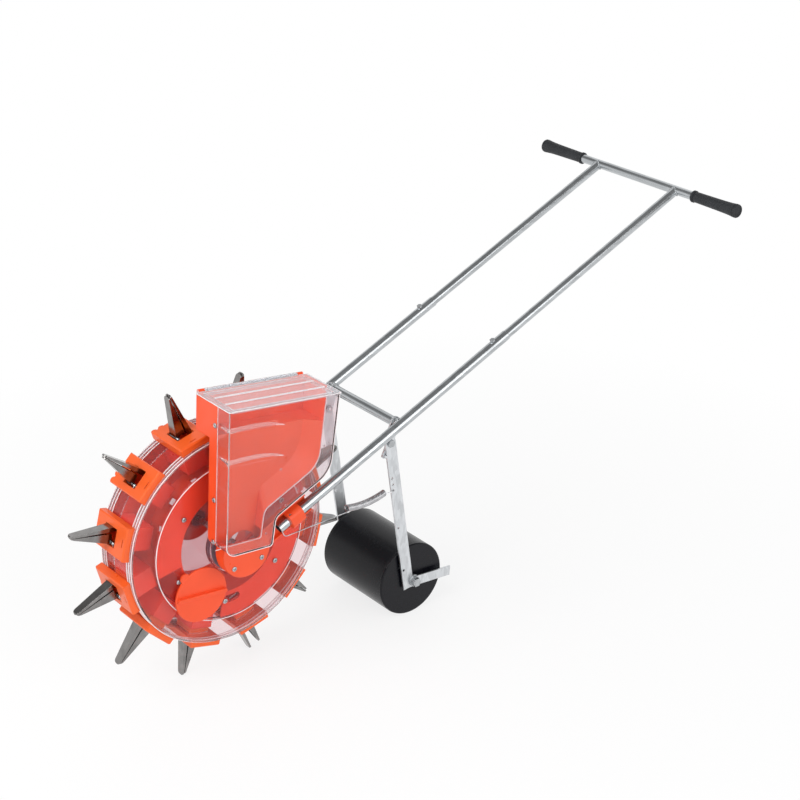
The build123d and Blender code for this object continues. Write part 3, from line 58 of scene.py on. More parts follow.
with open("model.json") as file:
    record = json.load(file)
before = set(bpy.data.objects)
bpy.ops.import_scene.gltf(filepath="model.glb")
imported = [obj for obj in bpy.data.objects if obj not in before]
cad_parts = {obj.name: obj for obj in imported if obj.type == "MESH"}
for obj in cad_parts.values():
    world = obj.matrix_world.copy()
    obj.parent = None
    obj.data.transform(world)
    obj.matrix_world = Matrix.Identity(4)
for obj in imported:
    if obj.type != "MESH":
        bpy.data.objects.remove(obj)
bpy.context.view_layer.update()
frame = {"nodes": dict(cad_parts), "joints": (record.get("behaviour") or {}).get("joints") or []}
NODES = frame["nodes"]
JOINTS = {joint["name"]: joint for joint in frame["joints"]}


# Places, most of them read from the frame

def unit(vector):
    """The vector at length one."""
    return vector / np.linalg.norm(vector)


def middle(node):
    """Centre of a node's box."""
    low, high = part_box(node)
    return np.array((low + high) / 2)


def half_width(node, axis):
    """Half of a node's box along one axis."""
    low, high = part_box(node)
    return (high[axis] - low[axis]) / 2


def joint_place(name):
    """Point on a joint's axis."""
    return np.array(JOINTS[name]["pos_m"], float)


def set_across(place, level):
    """The place moved across the planter to a level."""
    return np.array((place[0], level, place[2]))


ACROSS = np.array((0.0, 1.0, 0.0))
UP = np.array((0.0, 0.0, 1.0))
WHEEL = joint_place("wheel_spin")
AXLE = WHEEL * (1, 0, 1)
PIVOT = joint_place("roller_swing")
ROLLER = joint_place("roller_spin")
BAR = middle("handlebar")
CROSS = middle("cross_tube")
UP_TUBE = unit(BAR - CROSS)
OFF_TUBE = np.cross(ACROSS, UP_TUBE)
TUBE_FOOT = CROSS - UP_TUBE * np.dot(CROSS - WHEEL, UP_TUBE)
TUBE_SIDE = middle("left_lower_tube")[1]
ARM_AHEAD = 0.014
ARM_FOOT = ROLLER + np.array((ARM_AHEAD, 0.0, 0.0))
DOWN_ARM = unit(ARM_FOOT - PIVOT)
FORWARD_ARM = np.cross(DOWN_ARM, ACROSS)
ARM_LOW, ARM_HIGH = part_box("left_roller_arm")
HOPPER_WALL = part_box("hopper_front_shell")[1][1]
STEP_LEVEL = 0.0655
STEP_RADIUS = 0.1575
SIDES = {"left": 1, "right": -1}


# Settings that a user would change

def colour(label, text, value):
    """Colour setting."""
    return bpy.props.FloatVectorProperty(
        name=label, description=text, subtype="COLOR", size=3, min=0, max=1, default=value)


def length(label, text, value):
    """Length setting in metres."""
    return bpy.props.FloatProperty(name=label, description=text, unit="LENGTH", precision=5, default=value)


def number(label, text, value):
    """Plain number setting."""
    return bpy.props.FloatProperty(name=label, description=text, default=value)


class PlanterColours(bpy.types.PropertyGroup):
    """Colours of the finishes."""
    orange: colour("Orange moulding", "Hopper back, cap, clamps and far hub plate", (0.87, 0.082, 0.018))
    base: colour("Opener bases", "Bases of the jaws, a yellower orange", (0.87, 0.118, 0.016))
    ring: colour("Seed ring", "Ring inside the drum, a deeper orange", (0.87, 0.058, 0.012))
    red: colour("Red moulding", "Chutes and feed spout inside the drum", (0.90, 0.050, 0.020))
    clear: colour("Clear moulding", "Tint of the hopper front and its pegs", (0.89, 0.85, 0.87))
    near: colour("Near disc", "Tint of the near disc, with the red of the ring in it", (0.94, 0.68, 0.70))
    rim: colour("Near rim", "Tint of the near disc outside its step", (0.97, 0.89, 0.90))
    lid: colour("Lid", "Tint of the hopper lid", (0.84, 0.87, 0.91))
    far: colour("Far disc", "Tint of the far disc, with the red of the chutes in it", (0.66, 0.52, 0.54))
    # Pale edges: colour of the painted highlights on the ribs and edges of the clear mouldings
    pale: colour("Pale edges", "Ribs and edges of the clear mouldings", (0.88, 0.84, 0.855))
    # Level marks: colour of the painted highlights on the hopper's level beads
    mark: colour("Level marks", "Frosted bands on the hopper", (0.96, 0.91, 0.91))
    pin: colour("Lid pin", "Bright wire in the lid's hinge", (0.86, 0.85, 0.855))
    zinc: colour("Zinc", "Coat of tubes and fasteners", (0.50, 0.52, 0.535))
    plate: colour("Plate", "Coat of the arms, lugs and scraper", (0.68, 0.70, 0.72))
    beak: colour("Beak steel", "Polished sheet of the jaws", (0.27, 0.26, 0.255))
    spring: colour("Spring wire", "Drawn steel wire", (0.58, 0.58, 0.595))
    rubber: colour("Grip rubber", "Hand grips and cap gasket", (0.019, 0.021, 0.024))
    roller: colour("Roller coat", "Press roller", (0.0030, 0.0030, 0.0055))
    bearing: colour("Bearing plastic", "Bearing rings and bushes", (0.15, 0.13, 0.16))


class PlanterSprings(bpy.types.PropertyGroup):
    """Sizes of the wound springs."""
    wire: length("Wire", "Diameter of the tension springs' wire", 0.002)
    coil: length("Coil", "Radius of the tension springs' coils at the middle of the wire", 0.006)
    coil_length: length("Coil length", "Length of the closed coils", 0.098)
    setback: length("Setback", "From the hole in the arm to the coils", 0.022)
    sag: length("Sag", "How far the middle of the coils hangs down", 0.006)
    hole: length("Hole", "From the arm's pivot down to the hook's hole", 0.103)
    hole_forward: length("Hole forward", "From the arm's middle line to the hole", 0.007)
    station: length("Station", "Front hook's place on the tube, from the point nearest the axle", 0.080)
    drop: length("Drop", "How far the front leg passes under the tube's middle line", 0.0255)
    reach: length("Reach", "How far below the tube's middle line the front hook ends", 0.006)
    jaw_wire: length("Jaw wire", "Diameter of the jaw springs' wire", 0.001)
    jaw_coil: length("Jaw coil", "Radius of the jaw springs' coils at the middle of the wire", 0.0026)


class PlanterGrips(bpy.types.PropertyGroup):
    """Sizes of the hand grips."""
    waist: length("Waist", "Radius behind the inner collar", 0.0108)
    swell: length("Swell", "Growth of the radius towards the end", 0.0015)
    flare: length("Flare", "Further growth at the very end", 0.0016)
    collar: length("Collar", "Radius of the inner collar", 0.0123)
    groove: length("Groove", "Depth of the ring behind the end", 0.0006)
    dish: length("Dish", "Depth of the hollow in the end face", 0.0012)


class PlanterTrim(bpy.types.PropertyGroup):
    """Sizes of welds, screws, pegs and pale edges."""
    weld: length("Weld", "Radius of the weld beads", 0.0019)
    ripple: number("Ripple", "Share by which a weld bead swells and shrinks", 0.16)
    lug: length("Lug", "From an arm's inner face to the inner face of its lug", 0.0044)
    head: length("Head", "Radius of a screw head", 0.0048)
    head_height: length("Head height", "Height of a screw head", 0.0024)
    shank: length("Shank", "Radius of a screw's shank", 0.0016)
    recess: length("Recess", "Depth of the cross in a screw head", 0.0014)
    peg: length("Peg", "Radius of the pegs on the clear half of the hopper", 0.0026)
    peg_height: length("Peg height", "How far a peg stands off the wall", 0.0012)
    level_bead: length("Level bead", "How far the level beads stand off the same wall", 0.0016)
    # A level mark is a frosted band that paints the highlight on a level bead
    mark_width: length("Mark width", "Half the height of a level mark where it is widest", 0.0045)
    mark_depth: length("Mark depth", "How far a level mark stands off the wall under it", 0.0003)
    # The pale lid ribs, edges and rim ribs are painted highlights on the clear mouldings
    lid_rib: length("Lid rib", "Radius of the pale ribs on the lid", 0.0016)
    edge: length("Edge", "Radius of the pale edges of the hopper and the lid", 0.0007)
    rim_rib: length("Rim rib", "Radius of the pale ribs round the drum", 0.00085)


class PlanterStudio(bpy.types.PropertyGroup):
    """Light and floor."""
    floor: colour("Floor", "Pale studio floor", (0.95, 0.95, 0.952))
    ceiling: number("Ceiling", "Strength of the light from overhead, where the horizon is 1", 0.30)
    key: number("Key", "Power of the soft lamp in front, in watts", 60.0)
    side: number("Side", "Power of the soft lamp on the hopper side, in watts", 34.0)
    wash: number("Wash", "Share of plain white in the floor beside the planter", 0.80)


# Node helpers

MIX_SOCKETS = (0, 6, 7)
MIX_RESULT = 2
EDGE_SAMPLES = 6


def add_node(tree, kind, settings=None, **sockets):
    """Node with its settings; each socket gets a value, or a link where another socket is given."""
    node = tree.nodes.new(kind)
    for name, value in (settings or {}).items():
        setattr(node, name, value)
    set_sockets(tree, node, **sockets)
    return node


def plug(tree, socket, value):
    """Link a socket to another one, or set its value."""
    if isinstance(value, bpy.types.NodeSocket):
        tree.links.new(value, socket)
    else:
        socket.default_value = value


def object_places(tree, turn=(0, 0, 0), stretch=(1, 1, 1)):
    """Object coordinates, turned and stretched for a pattern."""
    source = add_node(tree, "ShaderNodeTexCoord").outputs["Object"]
    mapping = add_node(tree, "ShaderNodeMapping", Vector=source, Rotation=turn, Scale=stretch)
    return mapping.outputs["Vector"]


def noise(tree, places, scale, detail=3.0, roughness=0.55):
    """Cloudy pattern between 0 and 1."""
    node = add_node(
        tree, "ShaderNodeTexNoise", Vector=places, Scale=scale, Detail=detail, Roughness=roughness)
    return node.outputs["Fac"]


def spread(tree, value, low, high, start=0.25, end=0.75):
    """Value carried from start and end to low and high."""
    node = add_node(
        tree, "ShaderNodeMapRange", Value=value, From_Min=start, From_Max=end, To_Min=low, To_Max=high)
    return node.outputs["Result"]


def blend_colours(tree, factor, first, second):
    """Mix of two colours."""
    node = add_node(tree, "ShaderNodeMix", {"data_type": "RGBA"})
    for index, value in zip(MIX_SOCKETS, (factor, first, second)):
        plug(tree, node.inputs[index], value)
    return node.outputs[MIX_RESULT]


def shade(value, share):
    """Colour with its light scaled, ready for a colour socket."""
    return tuple(min(1.0, part * share) for part in value) + (1.0,)


def tones(tree, factor, tint, dark, bright):
    """Mix of a darker and a brighter tone of one tint."""
    return blend_colours(tree, factor, shade(tint, dark), shade(tint, bright))


def from_origin(tree, places):
    """Distance of places from the origin."""
    return add_node(tree, "ShaderNodeVectorMath", {"operation": "LENGTH"}, Vector=places).outputs["Value"]


def calculate(tree, operation, first, second, kind="ShaderNodeMath"):
    """Result of a sum on two numbers, or on two directions with the other kind of node."""
    node = add_node(tree, kind, {"operation": operation})
    plug(tree, node.inputs[0], first)
    plug(tree, node.inputs[1], second)
    return node.outputs["Value"]


def dot_product(tree, first, second):
    """Dot product of two directions."""
    return calculate(tree, "DOT_PRODUCT", first, second, "ShaderNodeVectorMath")


def mix_shaders(tree, factor, first, second):
    """Mix of two shaders."""
    node = add_node(tree, "ShaderNodeMixShader")
    for index, value in enumerate((factor, first, second)):
        plug(tree, node.inputs[index], value)
    return node.outputs[0]


def rounded_normal(tree, radius):
    """Normal that runs round a moulded or worn edge of that radius."""
    return add_node(tree, "ShaderNodeBevel", {"samples": EDGE_SAMPLES}, Radius=radius).outputs["Normal"]


def bump(tree, height, normal, depth):
    """Normal moved by a height pattern of that depth."""
    node = add_node(tree, "ShaderNodeBump", Strength=1.0, Distance=depth, Height=height, Normal=normal)
    return node.outputs["Normal"]


def new_finish(name):
    """Empty material with its tree and main shader."""
    material = bpy.data.materials.new(name)
    material.use_nodes = True
    return material, material.node_tree, material.node_tree.nodes["Principled BSDF"]


def set_sockets(tree, node, **sockets):
    """Set or link sockets of a node by name."""
    for name, value in sockets.items():
        plug(tree, node.inputs[name.replace("_", " ")], value)


# Finishes

STEP_INSIDE = 0.002
STEP_OUTSIDE = 0.004
# White of the painted highlight on the edges of the clear mouldings
EDGE_HIGHLIGHT = (0.98, 0.97, 0.975, 1.0)
PANE_TINT = (0.97, 0.95, 0.955, 1.0)


def moulded(name, tint, gloss=(0.26, 0.40), edge=0.0014):
    """Moulded plastic: clouded colour, a fine grain, slightly uneven gloss and rounded edges."""
    material, tree, shader = new_finish(name)
    places = object_places(tree)
    cloud = spread(tree, noise(tree, places, scale=14.0), 0.0, 1.0)
    grain = noise(tree, places, scale=1400.0, detail=1.0)
    set_sockets(
        tree, shader,
        Base_Color=tones(tree, cloud, tint, dark=0.94, bright=1.05),
        Roughness=spread(tree, noise(tree, places, scale=46.0), *gloss),
        Normal=bump(tree, grain, rounded_normal(tree, edge), depth=0.00006),
        IOR=1.46,
    )
    return material


def past_step(tree, places):
    """Share that rises from 0 to 1 across the step of the near disc, by the distance from the axle."""
    flat = add_node(tree, "ShaderNodeMapping", Vector=places, Location=-AXLE, Scale=(1, 0, 1))
    away = from_origin(tree, flat.outputs["Vector"])
    return spread(tree, away, 0.0, 1.0, start=STEP_RADIUS - STEP_INSIDE, end=STEP_RADIUS + STEP_OUTSIDE)


def clear_moulded(name, tint, clear=0.985, index=1.31, edge_radius=0.0012, rim=None):
    """Clear moulded plastic: a slight tint and haze, and a painted highlight on its edges, which turn white,
    metallic and rough; light passes through it.

    A disc may have another tint outside its step.
    """
    material, tree, shader = new_finish(name)
    places = object_places(tree)
    waves = noise(tree, places, scale=22.0, detail=1.0)
    rounded = rounded_normal(tree, edge_radius)
    facing = dot_product(tree, add_node(tree, "ShaderNodeNewGeometry").outputs["Normal"], rounded)
    # Edge mask: where the rounded normal leans off the surface normal the colour turns white, metallic and
    # rough, a painted highlight on the moulding's edges
    edge = spread(tree, facing, 1.0, 0.0, start=0.82, end=0.985)
    body = tones(tree, spread(tree, waves, 0.0, 1.0), tint, dark=0.97, bright=1.03)
    if rim is not None:
        body = blend_colours(tree, past_step(tree, places), body, shade(rim, 1.0))
    sheen = spread(tree, noise(tree, places, scale=60.0), low=0.02, high=0.07)
    set_sockets(
        tree, shader,
        Base_Color=blend_colours(tree, edge, body, EDGE_HIGHLIGHT),
        Roughness=spread(tree, edge, low=sheen, high=0.7, start=0.0, end=1.0),
        Metallic=edge,
        Normal=bump(tree, waves, rounded, depth=0.0004),
        Transmission_Weight=clear,
        IOR=index,
    )
    light = add_node(tree, "ShaderNodeLightPath")
    pane = add_node(tree, "ShaderNodeBsdfTransparent", Color=PANE_TINT)
    lit = mix_shaders(tree, light.outputs["Is Shadow Ray"], shader.outputs[0], pane.outputs[0])
    surface = mix_shaders(tree, light.outputs["Is Diffuse Ray"], lit, pane.outputs[0])
    plug(tree, tree.nodes["Material Output"].inputs["Surface"], surface)
    return material


def zinc_coat(name, tint, turn=(0, 0, 0), stretch=(1, 1, 1), gloss=(0.13, 0.26), edge=0.0006):
    """Zinc coat: crystal patches, streaks along the metal and an uneven sheen."""
    material, tree, shader = new_finish(name)
    places = object_places(tree, turn, stretch)
    crystals = add_node(tree, "ShaderNodeTexVoronoi", Vector=places, Scale=180.0)
    patch = add_node(tree, "ShaderNodeSeparateColor", Color=crystals.outputs["Color"]).outputs["Red"]
    streak = noise(tree, places, scale=90.0, detail=4.0)
    tone = tones(tree, patch, tint, dark=0.86, bright=1.08)
    stain = spread(tree, streak, low=0.0, high=0.5, start=0.5, end=0.75)
    set_sockets(
        tree, shader,
        Base_Color=blend_colours(tree, stain, tone, shade(tint, share=0.70)),
        Roughness=spread(tree, streak, *gloss),
        Normal=bump(tree, streak, rounded_normal(tree, edge), depth=0.00012),
        Metallic=1.0,
    )
    return material


def polished(name, tint, gloss=(0.06, 0.18), edge=0.0007):
    """Polished bent sheet: fine rubbing marks, smudges and bright rounded edges."""
    material, tree, shader = new_finish(name)
    rubbed = noise(tree, object_places(tree, stretch=(3, 1, 3)), scale=320.0, detail=2.0)
    smudge = noise(tree, object_places(tree), scale=55.0)
    set_sockets(
        tree, shader,
        Base_Color=tones(tree, spread(tree, smudge, 0.0, 1.0), tint, dark=0.72, bright=1.15),
        Roughness=spread(tree, smudge, *gloss),
        Normal=bump(tree, rubbed, rounded_normal(tree, edge), depth=0.00008),
        Metallic=1.0,
    )
    return material


def rubbered(name, tint, grain=1100.0, depth=0.00025, gloss=(0.48, 0.66)):
    """Matt rubber: a fine pebbled skin, a little paler where it is handled."""
    material, tree, shader = new_finish(name)
    places = object_places(tree)
    pebbles = add_node(tree, "ShaderNodeTexVoronoi", Vector=places, Scale=grain).outputs["Distance"]
    handled = spread(tree, noise(tree, places, scale=40.0), 0.0, 1.0)
    set_sockets(
        tree, shader,
        Base_Color=tones(tree, handled, tint, dark=0.82, bright=1.35),
        Roughness=spread(tree, noise(tree, places, scale=70.0), *gloss),
        Normal=bump(tree, pebbles, rounded_normal(tree, radius=0.0008), depth),
        IOR=1.4,
    )
    return material


def satin_black(name, tint):
    """Satin black coat of the roller: faint scuffs round it and an uneven sheen."""
    material, tree, shader = new_finish(name)
    scuffs = noise(tree, object_places(tree, stretch=(1, 7, 1)), scale=60.0, detail=5.0, roughness=0.7)
    cloud = noise(tree, object_places(tree), scale=16.0)
    worn = spread(tree, scuffs, 0.0, 1.0, start=0.58, end=0.80)
    set_sockets(
        tree, shader,
        Base_Color=tones(tree, worn, tint, dark=1.0, bright=2.4),
        Roughness=spread(tree, cloud, low=0.20, high=0.32),
        Normal=bump(tree, scuffs, rounded_normal(tree, radius=0.002), depth=0.00010),
        IOR=1.33,
    )
    return material


# Surfaces

BEND_COUNT = 8
CREASE = radians(40)


def whole_turn(steps):
    """Angles in equal steps round a circle, as a column."""
    return np.arange(steps)[:, None] * 2 * pi / steps


def spoke(angle, first, second):
    """Direction at an angle a from first towards second: cos a first + sin a second."""
    return np.cos(angle) * first + np.sin(angle) * second


def ring_grid(path, across, radii, sides, closed=False):
    """Circles of the given radii carried along a path.

    At each point the circle lies in the plane across the path's direction T. Its first spoke N is the
    given reference direction with its part along T taken off, and its second spoke is T x N, so a point
    is P + r (cos a N + sin a T x N) for angles a in equal steps round the circle.
    """
    if closed:
        along = np.roll(path, -1, axis=0) - np.roll(path, 1, axis=0)
    else:
        along = np.gradient(path, axis=0)
    along /= np.linalg.norm(along, axis=1, keepdims=True)
    first = across - np.sum(across * along, axis=1, keepdims=True) * along
    first /= np.linalg.norm(first, axis=1, keepdims=True)
    second = np.cross(along, first)
    spokes = spoke(whole_turn(sides)[None], first[:, None], second[:, None])
    return path[:, None] + np.broadcast_to(radii, len(path))[:, None, None] * spokes


def turned_grid(centre, axis, first, heights, radii, sides):
    """Rings about an axis, one row for each radius.

    At an angle a a point is C + h axis + r (cos a first + sin a axis x first). The height h of a row is one
    number, or one for each side.
    """
    spokes = spoke(whole_turn(sides), first, np.cross(axis, first))
    levels = np.broadcast_to(heights.reshape(len(radii), -1), (len(radii), sides))
    return centre + levels[..., None] * axis + radii[:, None, None] * spokes[None]


def grid_faces(rows, sides, start, closed):
    """Corner numbers of the quads of one grid, wound so that they face outwards."""
    last = rows if closed else rows - 1
    row, side = np.meshgrid(np.arange(last), np.arange(sides), indexing="ij")
    next_row = (row + 1) % rows
    next_side = (side + 1) % sides
    quads = np.stack([row * sides + side, row * sides + next_side,
                      next_row * sides + next_side, next_row * sides + side], axis=-1)
    return (quads.reshape(-1, 4) + start).tolist()


def make_piece(name, grids, material, closed=False):
    """One object from several grids of rings; an open grid gets a flat cap at each end."""
    places = []
    faces = []
    start = 0
    for grid in grids:
        rows, sides = grid.shape[:2]
        places.append(grid.reshape(-1, 3))
        faces += grid_faces(rows, sides, start, closed)
        if not closed:
            faces.append(list(range(start + sides - 1, start - 1, -1)))
            faces.append(list(range(start + (rows - 1) * sides, start + rows * sides)))
        start += rows * sides
    mesh = bpy.data.meshes.new(name)
    mesh.from_pydata(np.concatenate(places), [], faces)
    mesh.shade_smooth()
    mesh.set_sharp_from_angle(angle=CREASE)
    mesh.materials.append(material)
    piece = bpy.data.objects.new(name, mesh)
    bpy.context.scene.collection.objects.link(piece)
    return piece


def line(start, end, count=BEND_COUNT):
    """Points from start to just before end, evenly spaced."""
    share = np.arange(count)[:, None] / count
    return start + (end - start) * share


def quarter(corner, come, go, radius):
    """Quarter circle that turns from direction come to direction go, with its sharp corner at corner.

    With the centre C = corner - r come + r go, a point is C + r (sin a come - cos a go) for angles a from 0
    to just under 90 degrees.
    """
    angle = np.arange(BEND_COUNT)[:, None] / BEND_COUNT * pi / 2
    centre = corner - radius * come + radius * go
    return centre + radius * (np.sin(angle) * come - np.cos(angle) * go)


def helix(start, axis, first, second, radius, turns, rise, steps):
    """Points of a helix and the spoke at each one.

    After an angle a, with the spoke S = cos a first + sin a second, the point is
    start + r S + axis rise a / 2 pi.
    """
    angle = np.arange(int(turns * steps))[:, None] * 2 * pi / steps
    spokes = spoke(angle, first, second)
    return start + radius * spokes + axis * rise * angle / (2 * pi), spokes


def join_stretches(stretches):
    """Path of a wire and its reference directions; a stretch has one direction, or one at each point."""
    path = np.concatenate([points for points, _ in stretches])
    return path, np.concatenate([np.broadcast_to(steady, points.shape) for points, steady in stretches])


# Springs

SPRING_SIDES = 8
COIL_STEPS = 20
COIL_TIGHTNESS = 1.03
HOOK_STAND = 1.5
HOOK_BEND = 0.005
LOOP_BEND = 0.004
LEG_COUNT = 40


def tension_spring_grid(sizes, side):
    """Wire of one tension spring: hook in the arm, closed coils that sag, a long leg and a hook in the tube.

    Both ends of the wire leave the coils at their lowest line.
    """
    hole = PIVOT + DOWN_ARM * sizes.hole + FORWARD_ARM * sizes.hole_forward
    outside = side * (ARM_HIGH[1] + HOOK_STAND * sizes.wire)
    inside = side * (ARM_LOW[1] - sizes.wire)
    foot = TUBE_FOOT + UP_TUBE * sizes.station
    low = foot - OFF_TUBE * sizes.drop
    high = foot - OFF_TUBE * sizes.reach
    hook = set_across(hole, outside)
    bend = set_across(low, side * TUBE_SIDE)
    tube_end = set_across(high, side * TUBE_SIDE)
    pull = unit(bend - hook)
    above = unit(UP - np.dot(UP, pull) * pull)
    below = -above
    sideways = np.cross(pull, below)
    pitch = sizes.wire * COIL_TIGHTNESS
    turns = round((sizes.coil_length - 2 * LOOP_BEND) / pitch)
    coil_start = hook + pull * (sizes.setback + LOOP_BEND) + above * sizes.coil
    coils, spokes = helix(coil_start, pull, below, sideways, sizes.coil, turns, pitch, COIL_STEPS)
    share = np.linspace(0, 1, len(coils))[:, None]
    coils -= above * sizes.sag * 4 * share * (1 - share)
    lift = below * sizes.coil
    coil_end = coil_start + pull * pitch * turns
    last_corner = coil_end + lift + sideways * LOOP_BEND
    leg_start = last_corner + pull * LOOP_BEND
    leg_go = unit(bend - leg_start)
    rise = unit(tube_end - bend)
    hook_in = set_across(hole, inside)
    outwards = ACROSS * side
    loop_corner = coil_start + lift - sideways * LOOP_BEND
    near_loop = loop_corner - pull * LOOP_BEND
    approach = unit(near_loop - hook)
    swing = np.linspace(0, pi / 2, LEG_COUNT)[:, None]
    path, steady = join_stretches([
        (line(hook_in, hook - outwards * HOOK_BEND), below),
        (quarter(hook, outwards, approach, HOOK_BEND), below),
        (line(hook + approach * HOOK_BEND, near_loop), below),
        (quarter(loop_corner, pull, sideways, LOOP_BEND), below),
        (coils, spokes),
        (quarter(last_corner, sideways, pull, LOOP_BEND), below),
        (line(leg_start, bend - leg_go * HOOK_BEND, LEG_COUNT), spoke(swing, below, sideways)),
        (quarter(bend, leg_go, rise, HOOK_BEND), sideways),
        (line(bend + rise * HOOK_BEND, tube_end), sideways),
    ])
    return ring_grid(path, steady, sizes.wire / 2, SPRING_SIDES)


JAW_TURNS = 5
JAW_STEPS = 16
JAW_SIDES = 6
JAW_LEG = 0.016
JAW_GAP = 0.0009


def jaw_spring_grid(sizes, joint):
    """Wire of one jaw spring: a short coil on the hinge pin, beside the jaw, and a leg across the mouth."""
    hinge = np.array(joint["pos_m"], float)
    jaw_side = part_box(f"moving_{joint['child']}")[1][1]
    start = set_across(hinge, jaw_side + JAW_GAP)
    outwards = unit((hinge - WHEEL) * (1, 0, 1))
    back = np.cross(outwards, ACROSS)
    radius, wire = sizes.jaw_coil, sizes.jaw_wire
    coil = helix(start, ACROSS, outwards, -back, radius, JAW_TURNS, wire, JAW_STEPS)
    leg_start = start + outwards * radius + ACROSS * wire * JAW_TURNS
    leg = line(leg_start, leg_start - back * JAW_LEG)
    path, steady = join_stretches([coil, (leg, outwards)])
    return ring_grid(path, steady, wire / 2, JAW_SIDES)


# Grips, welds, screws and pegs

GRIP_SIDES = 48
GRIP_ROWS = 40
GRIP_BORE = 0.0092
GRIP_POWER = 8
GRIP_COLLAR = ((0.0, 0.0006), (0.0006, 0.0), (0.0040, 0.0), (0.0048, 0.0005))
GRIP_NECK = (0.0052, 0.0064)
GRIP_NECK_DEPTH = 0.0004
GRIP_BODY_START = 0.0070
GRIP_BODY_END = 0.0060
GRIP_GROOVE = (0.0056, 0.0046)
GRIP_END = ((0.0042, 0.0), (0.0018, 0.0002), (0.0006, 0.0008), (0.0, 0.0020), (0.0, 0.0036))
GRIP_DISH_STEP = 0.0044
GRIP_DISH = ((1.0, 0.0040), (0.5, 0.0030), (0.5, 0.0002))
BEAD_STEPS = 120
BEAD_SIDES = 8
BEAD_RIPPLES = 26
SCREW_SIDES = 48
SCREW_ROWS = 22
SCREW_TURN = 0.7
SCREW_REACH = 0.02
SCREW_TIP = 0.0002
SCREW_ASKEW = (0.3, 0.4, 0.5)
SCREW_SHARES = (0.98, 0.01)
SCREW_DOME = 0.45
CROSS_HALF = 1 / 6
CROSS_SLOPE = 1 / 10
CROSS_REACH = 0.6
CROSS_END = 1 / 6
SCREW_LONG = {"hopper_screws": 0.005, "drum_screws": 0.006}
FRONT_LEAN = radians(3.5)
FRONT_WALL = np.array((cos(FRONT_LEAN), 0.0, sin(FRONT_LEAN)))
PEG_PLACES = ((-0.1618, 0.2490), (-0.1476, 0.1803), (-0.0869, 0.1136), (-0.0623, 0.0886), (-0.0178, 0.0471),
              (-0.0533, 0.1632))
PEG_ROWS = 10
PEG_SIDES = 24
PEG_ARC = 0.499 * pi
PEG_FOOT = 0.0002
PEG_TIP = 0.02


def grip_grid(sizes, node, side):
    """Hand grip turned about the bar: inner collar, body that swells and flares, ring groove and dished end.

    Along the body, with the share t from 0 to 1, the radius is waist + swell t + flare t^8. The collar and
    the end are given by distances from that end and steps down in radius, and the dish by shares of its
    depth and radii.
    """
    low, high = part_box(node)
    long = high[1] - low[1]
    share = np.linspace(0, 1, GRIP_ROWS)
    body = sizes.waist + sizes.swell * share + sizes.flare * share ** GRIP_POWER
    end = body[-1]
    profile = np.array([
        (0.0, GRIP_BORE),
        *((along, sizes.collar - step) for along, step in GRIP_COLLAR),
        *((along, sizes.waist - GRIP_NECK_DEPTH) for along in GRIP_NECK),
        *zip(GRIP_BODY_START + (long - GRIP_BODY_START - GRIP_BODY_END) * share, body),
        *((long - along, end - sizes.groove) for along in GRIP_GROOVE),
        *((long - along, end - step) for along, step in GRIP_END),
        (long - sizes.dish, end - GRIP_DISH_STEP),
        *((long - sizes.dish * depth, radius) for depth, radius in GRIP_DISH),
    ])
    inner = set_across(BAR, side * min(abs(low[1]), abs(high[1])))
    return turned_grid(inner, ACROSS * side, UP, profile[:, 0], profile[:, 1], GRIP_SIDES)


def bead_grid(sizes, centre, out, off, along, radius, other):
    """Weld bead where a pipe meets the side of another one.

    On the pipe's own circle, at an angle a, the spoke is S = cos a off + sin a along. The other pipe, of
    radius R about the direction along, is met at a distance of sqrt(R^2 - (r cos a)^2) along out. The bead's
    own radius swells and shrinks evenly round the joint.
    """
    angle = whole_turn(BEAD_STEPS)
    spokes = spoke(angle, off, along)
    rise = np.sqrt(np.maximum(other ** 2 - (radius * np.cos(angle)) ** 2, 0))
    radii = sizes.weld * (1 + sizes.ripple * np.sin(BEAD_RIPPLES * angle[:, 0]))
    return ring_grid(centre + radius * spokes + rise * out, spokes, radii, BEAD_SIDES, closed=True)


def weld_grids(sizes):
    """Beads where the handlebar meets its tubes, and where the cross tube meets its tubes and its lugs."""
    bar = half_width("handlebar", 2)
    cross = half_width("cross_tube", 2)
    lower = half_width("left_lower_tube", 1)
    upper = half_width("left_upper_tube", 1)
    grids = []
    for side in (-1, 1):
        at_bar = set_across(BAR, side * TUBE_SIDE)
        at_cross = set_across(CROSS, side * TUBE_SIDE)
        at_lug = set_across(CROSS, side * (ARM_LOW[1] - sizes.lug))
        grids.append(bead_grid(sizes, at_bar, -UP_TUBE, OFF_TUBE, ACROSS, upper, bar))
        grids.append(bead_grid(sizes, at_cross, -ACROSS * side, OFF_TUBE, UP_TUBE, cross, lower))
        grids.append(bead_grid(sizes, at_lug, -ACROSS * side, OFF_TUBE, UP_TUBE, cross, 0.0))
    return grids


def screw_places(node):
    """Middle of each screw of a node, from the corners that lie close together."""
    mesh = NODES[node].data
    corners = np.empty(len(mesh.vertices) * 3)
    mesh.vertices.foreach_get("co", corners)
    left = corners.reshape(-1, 3)
    places = []
    while len(left):
        near = np.linalg.norm(left - left[0], axis=1) < SCREW_REACH
        places.append((left[near].min(axis=0) + left[near].max(axis=0)) / 2)
        left = left[~near]
    return places


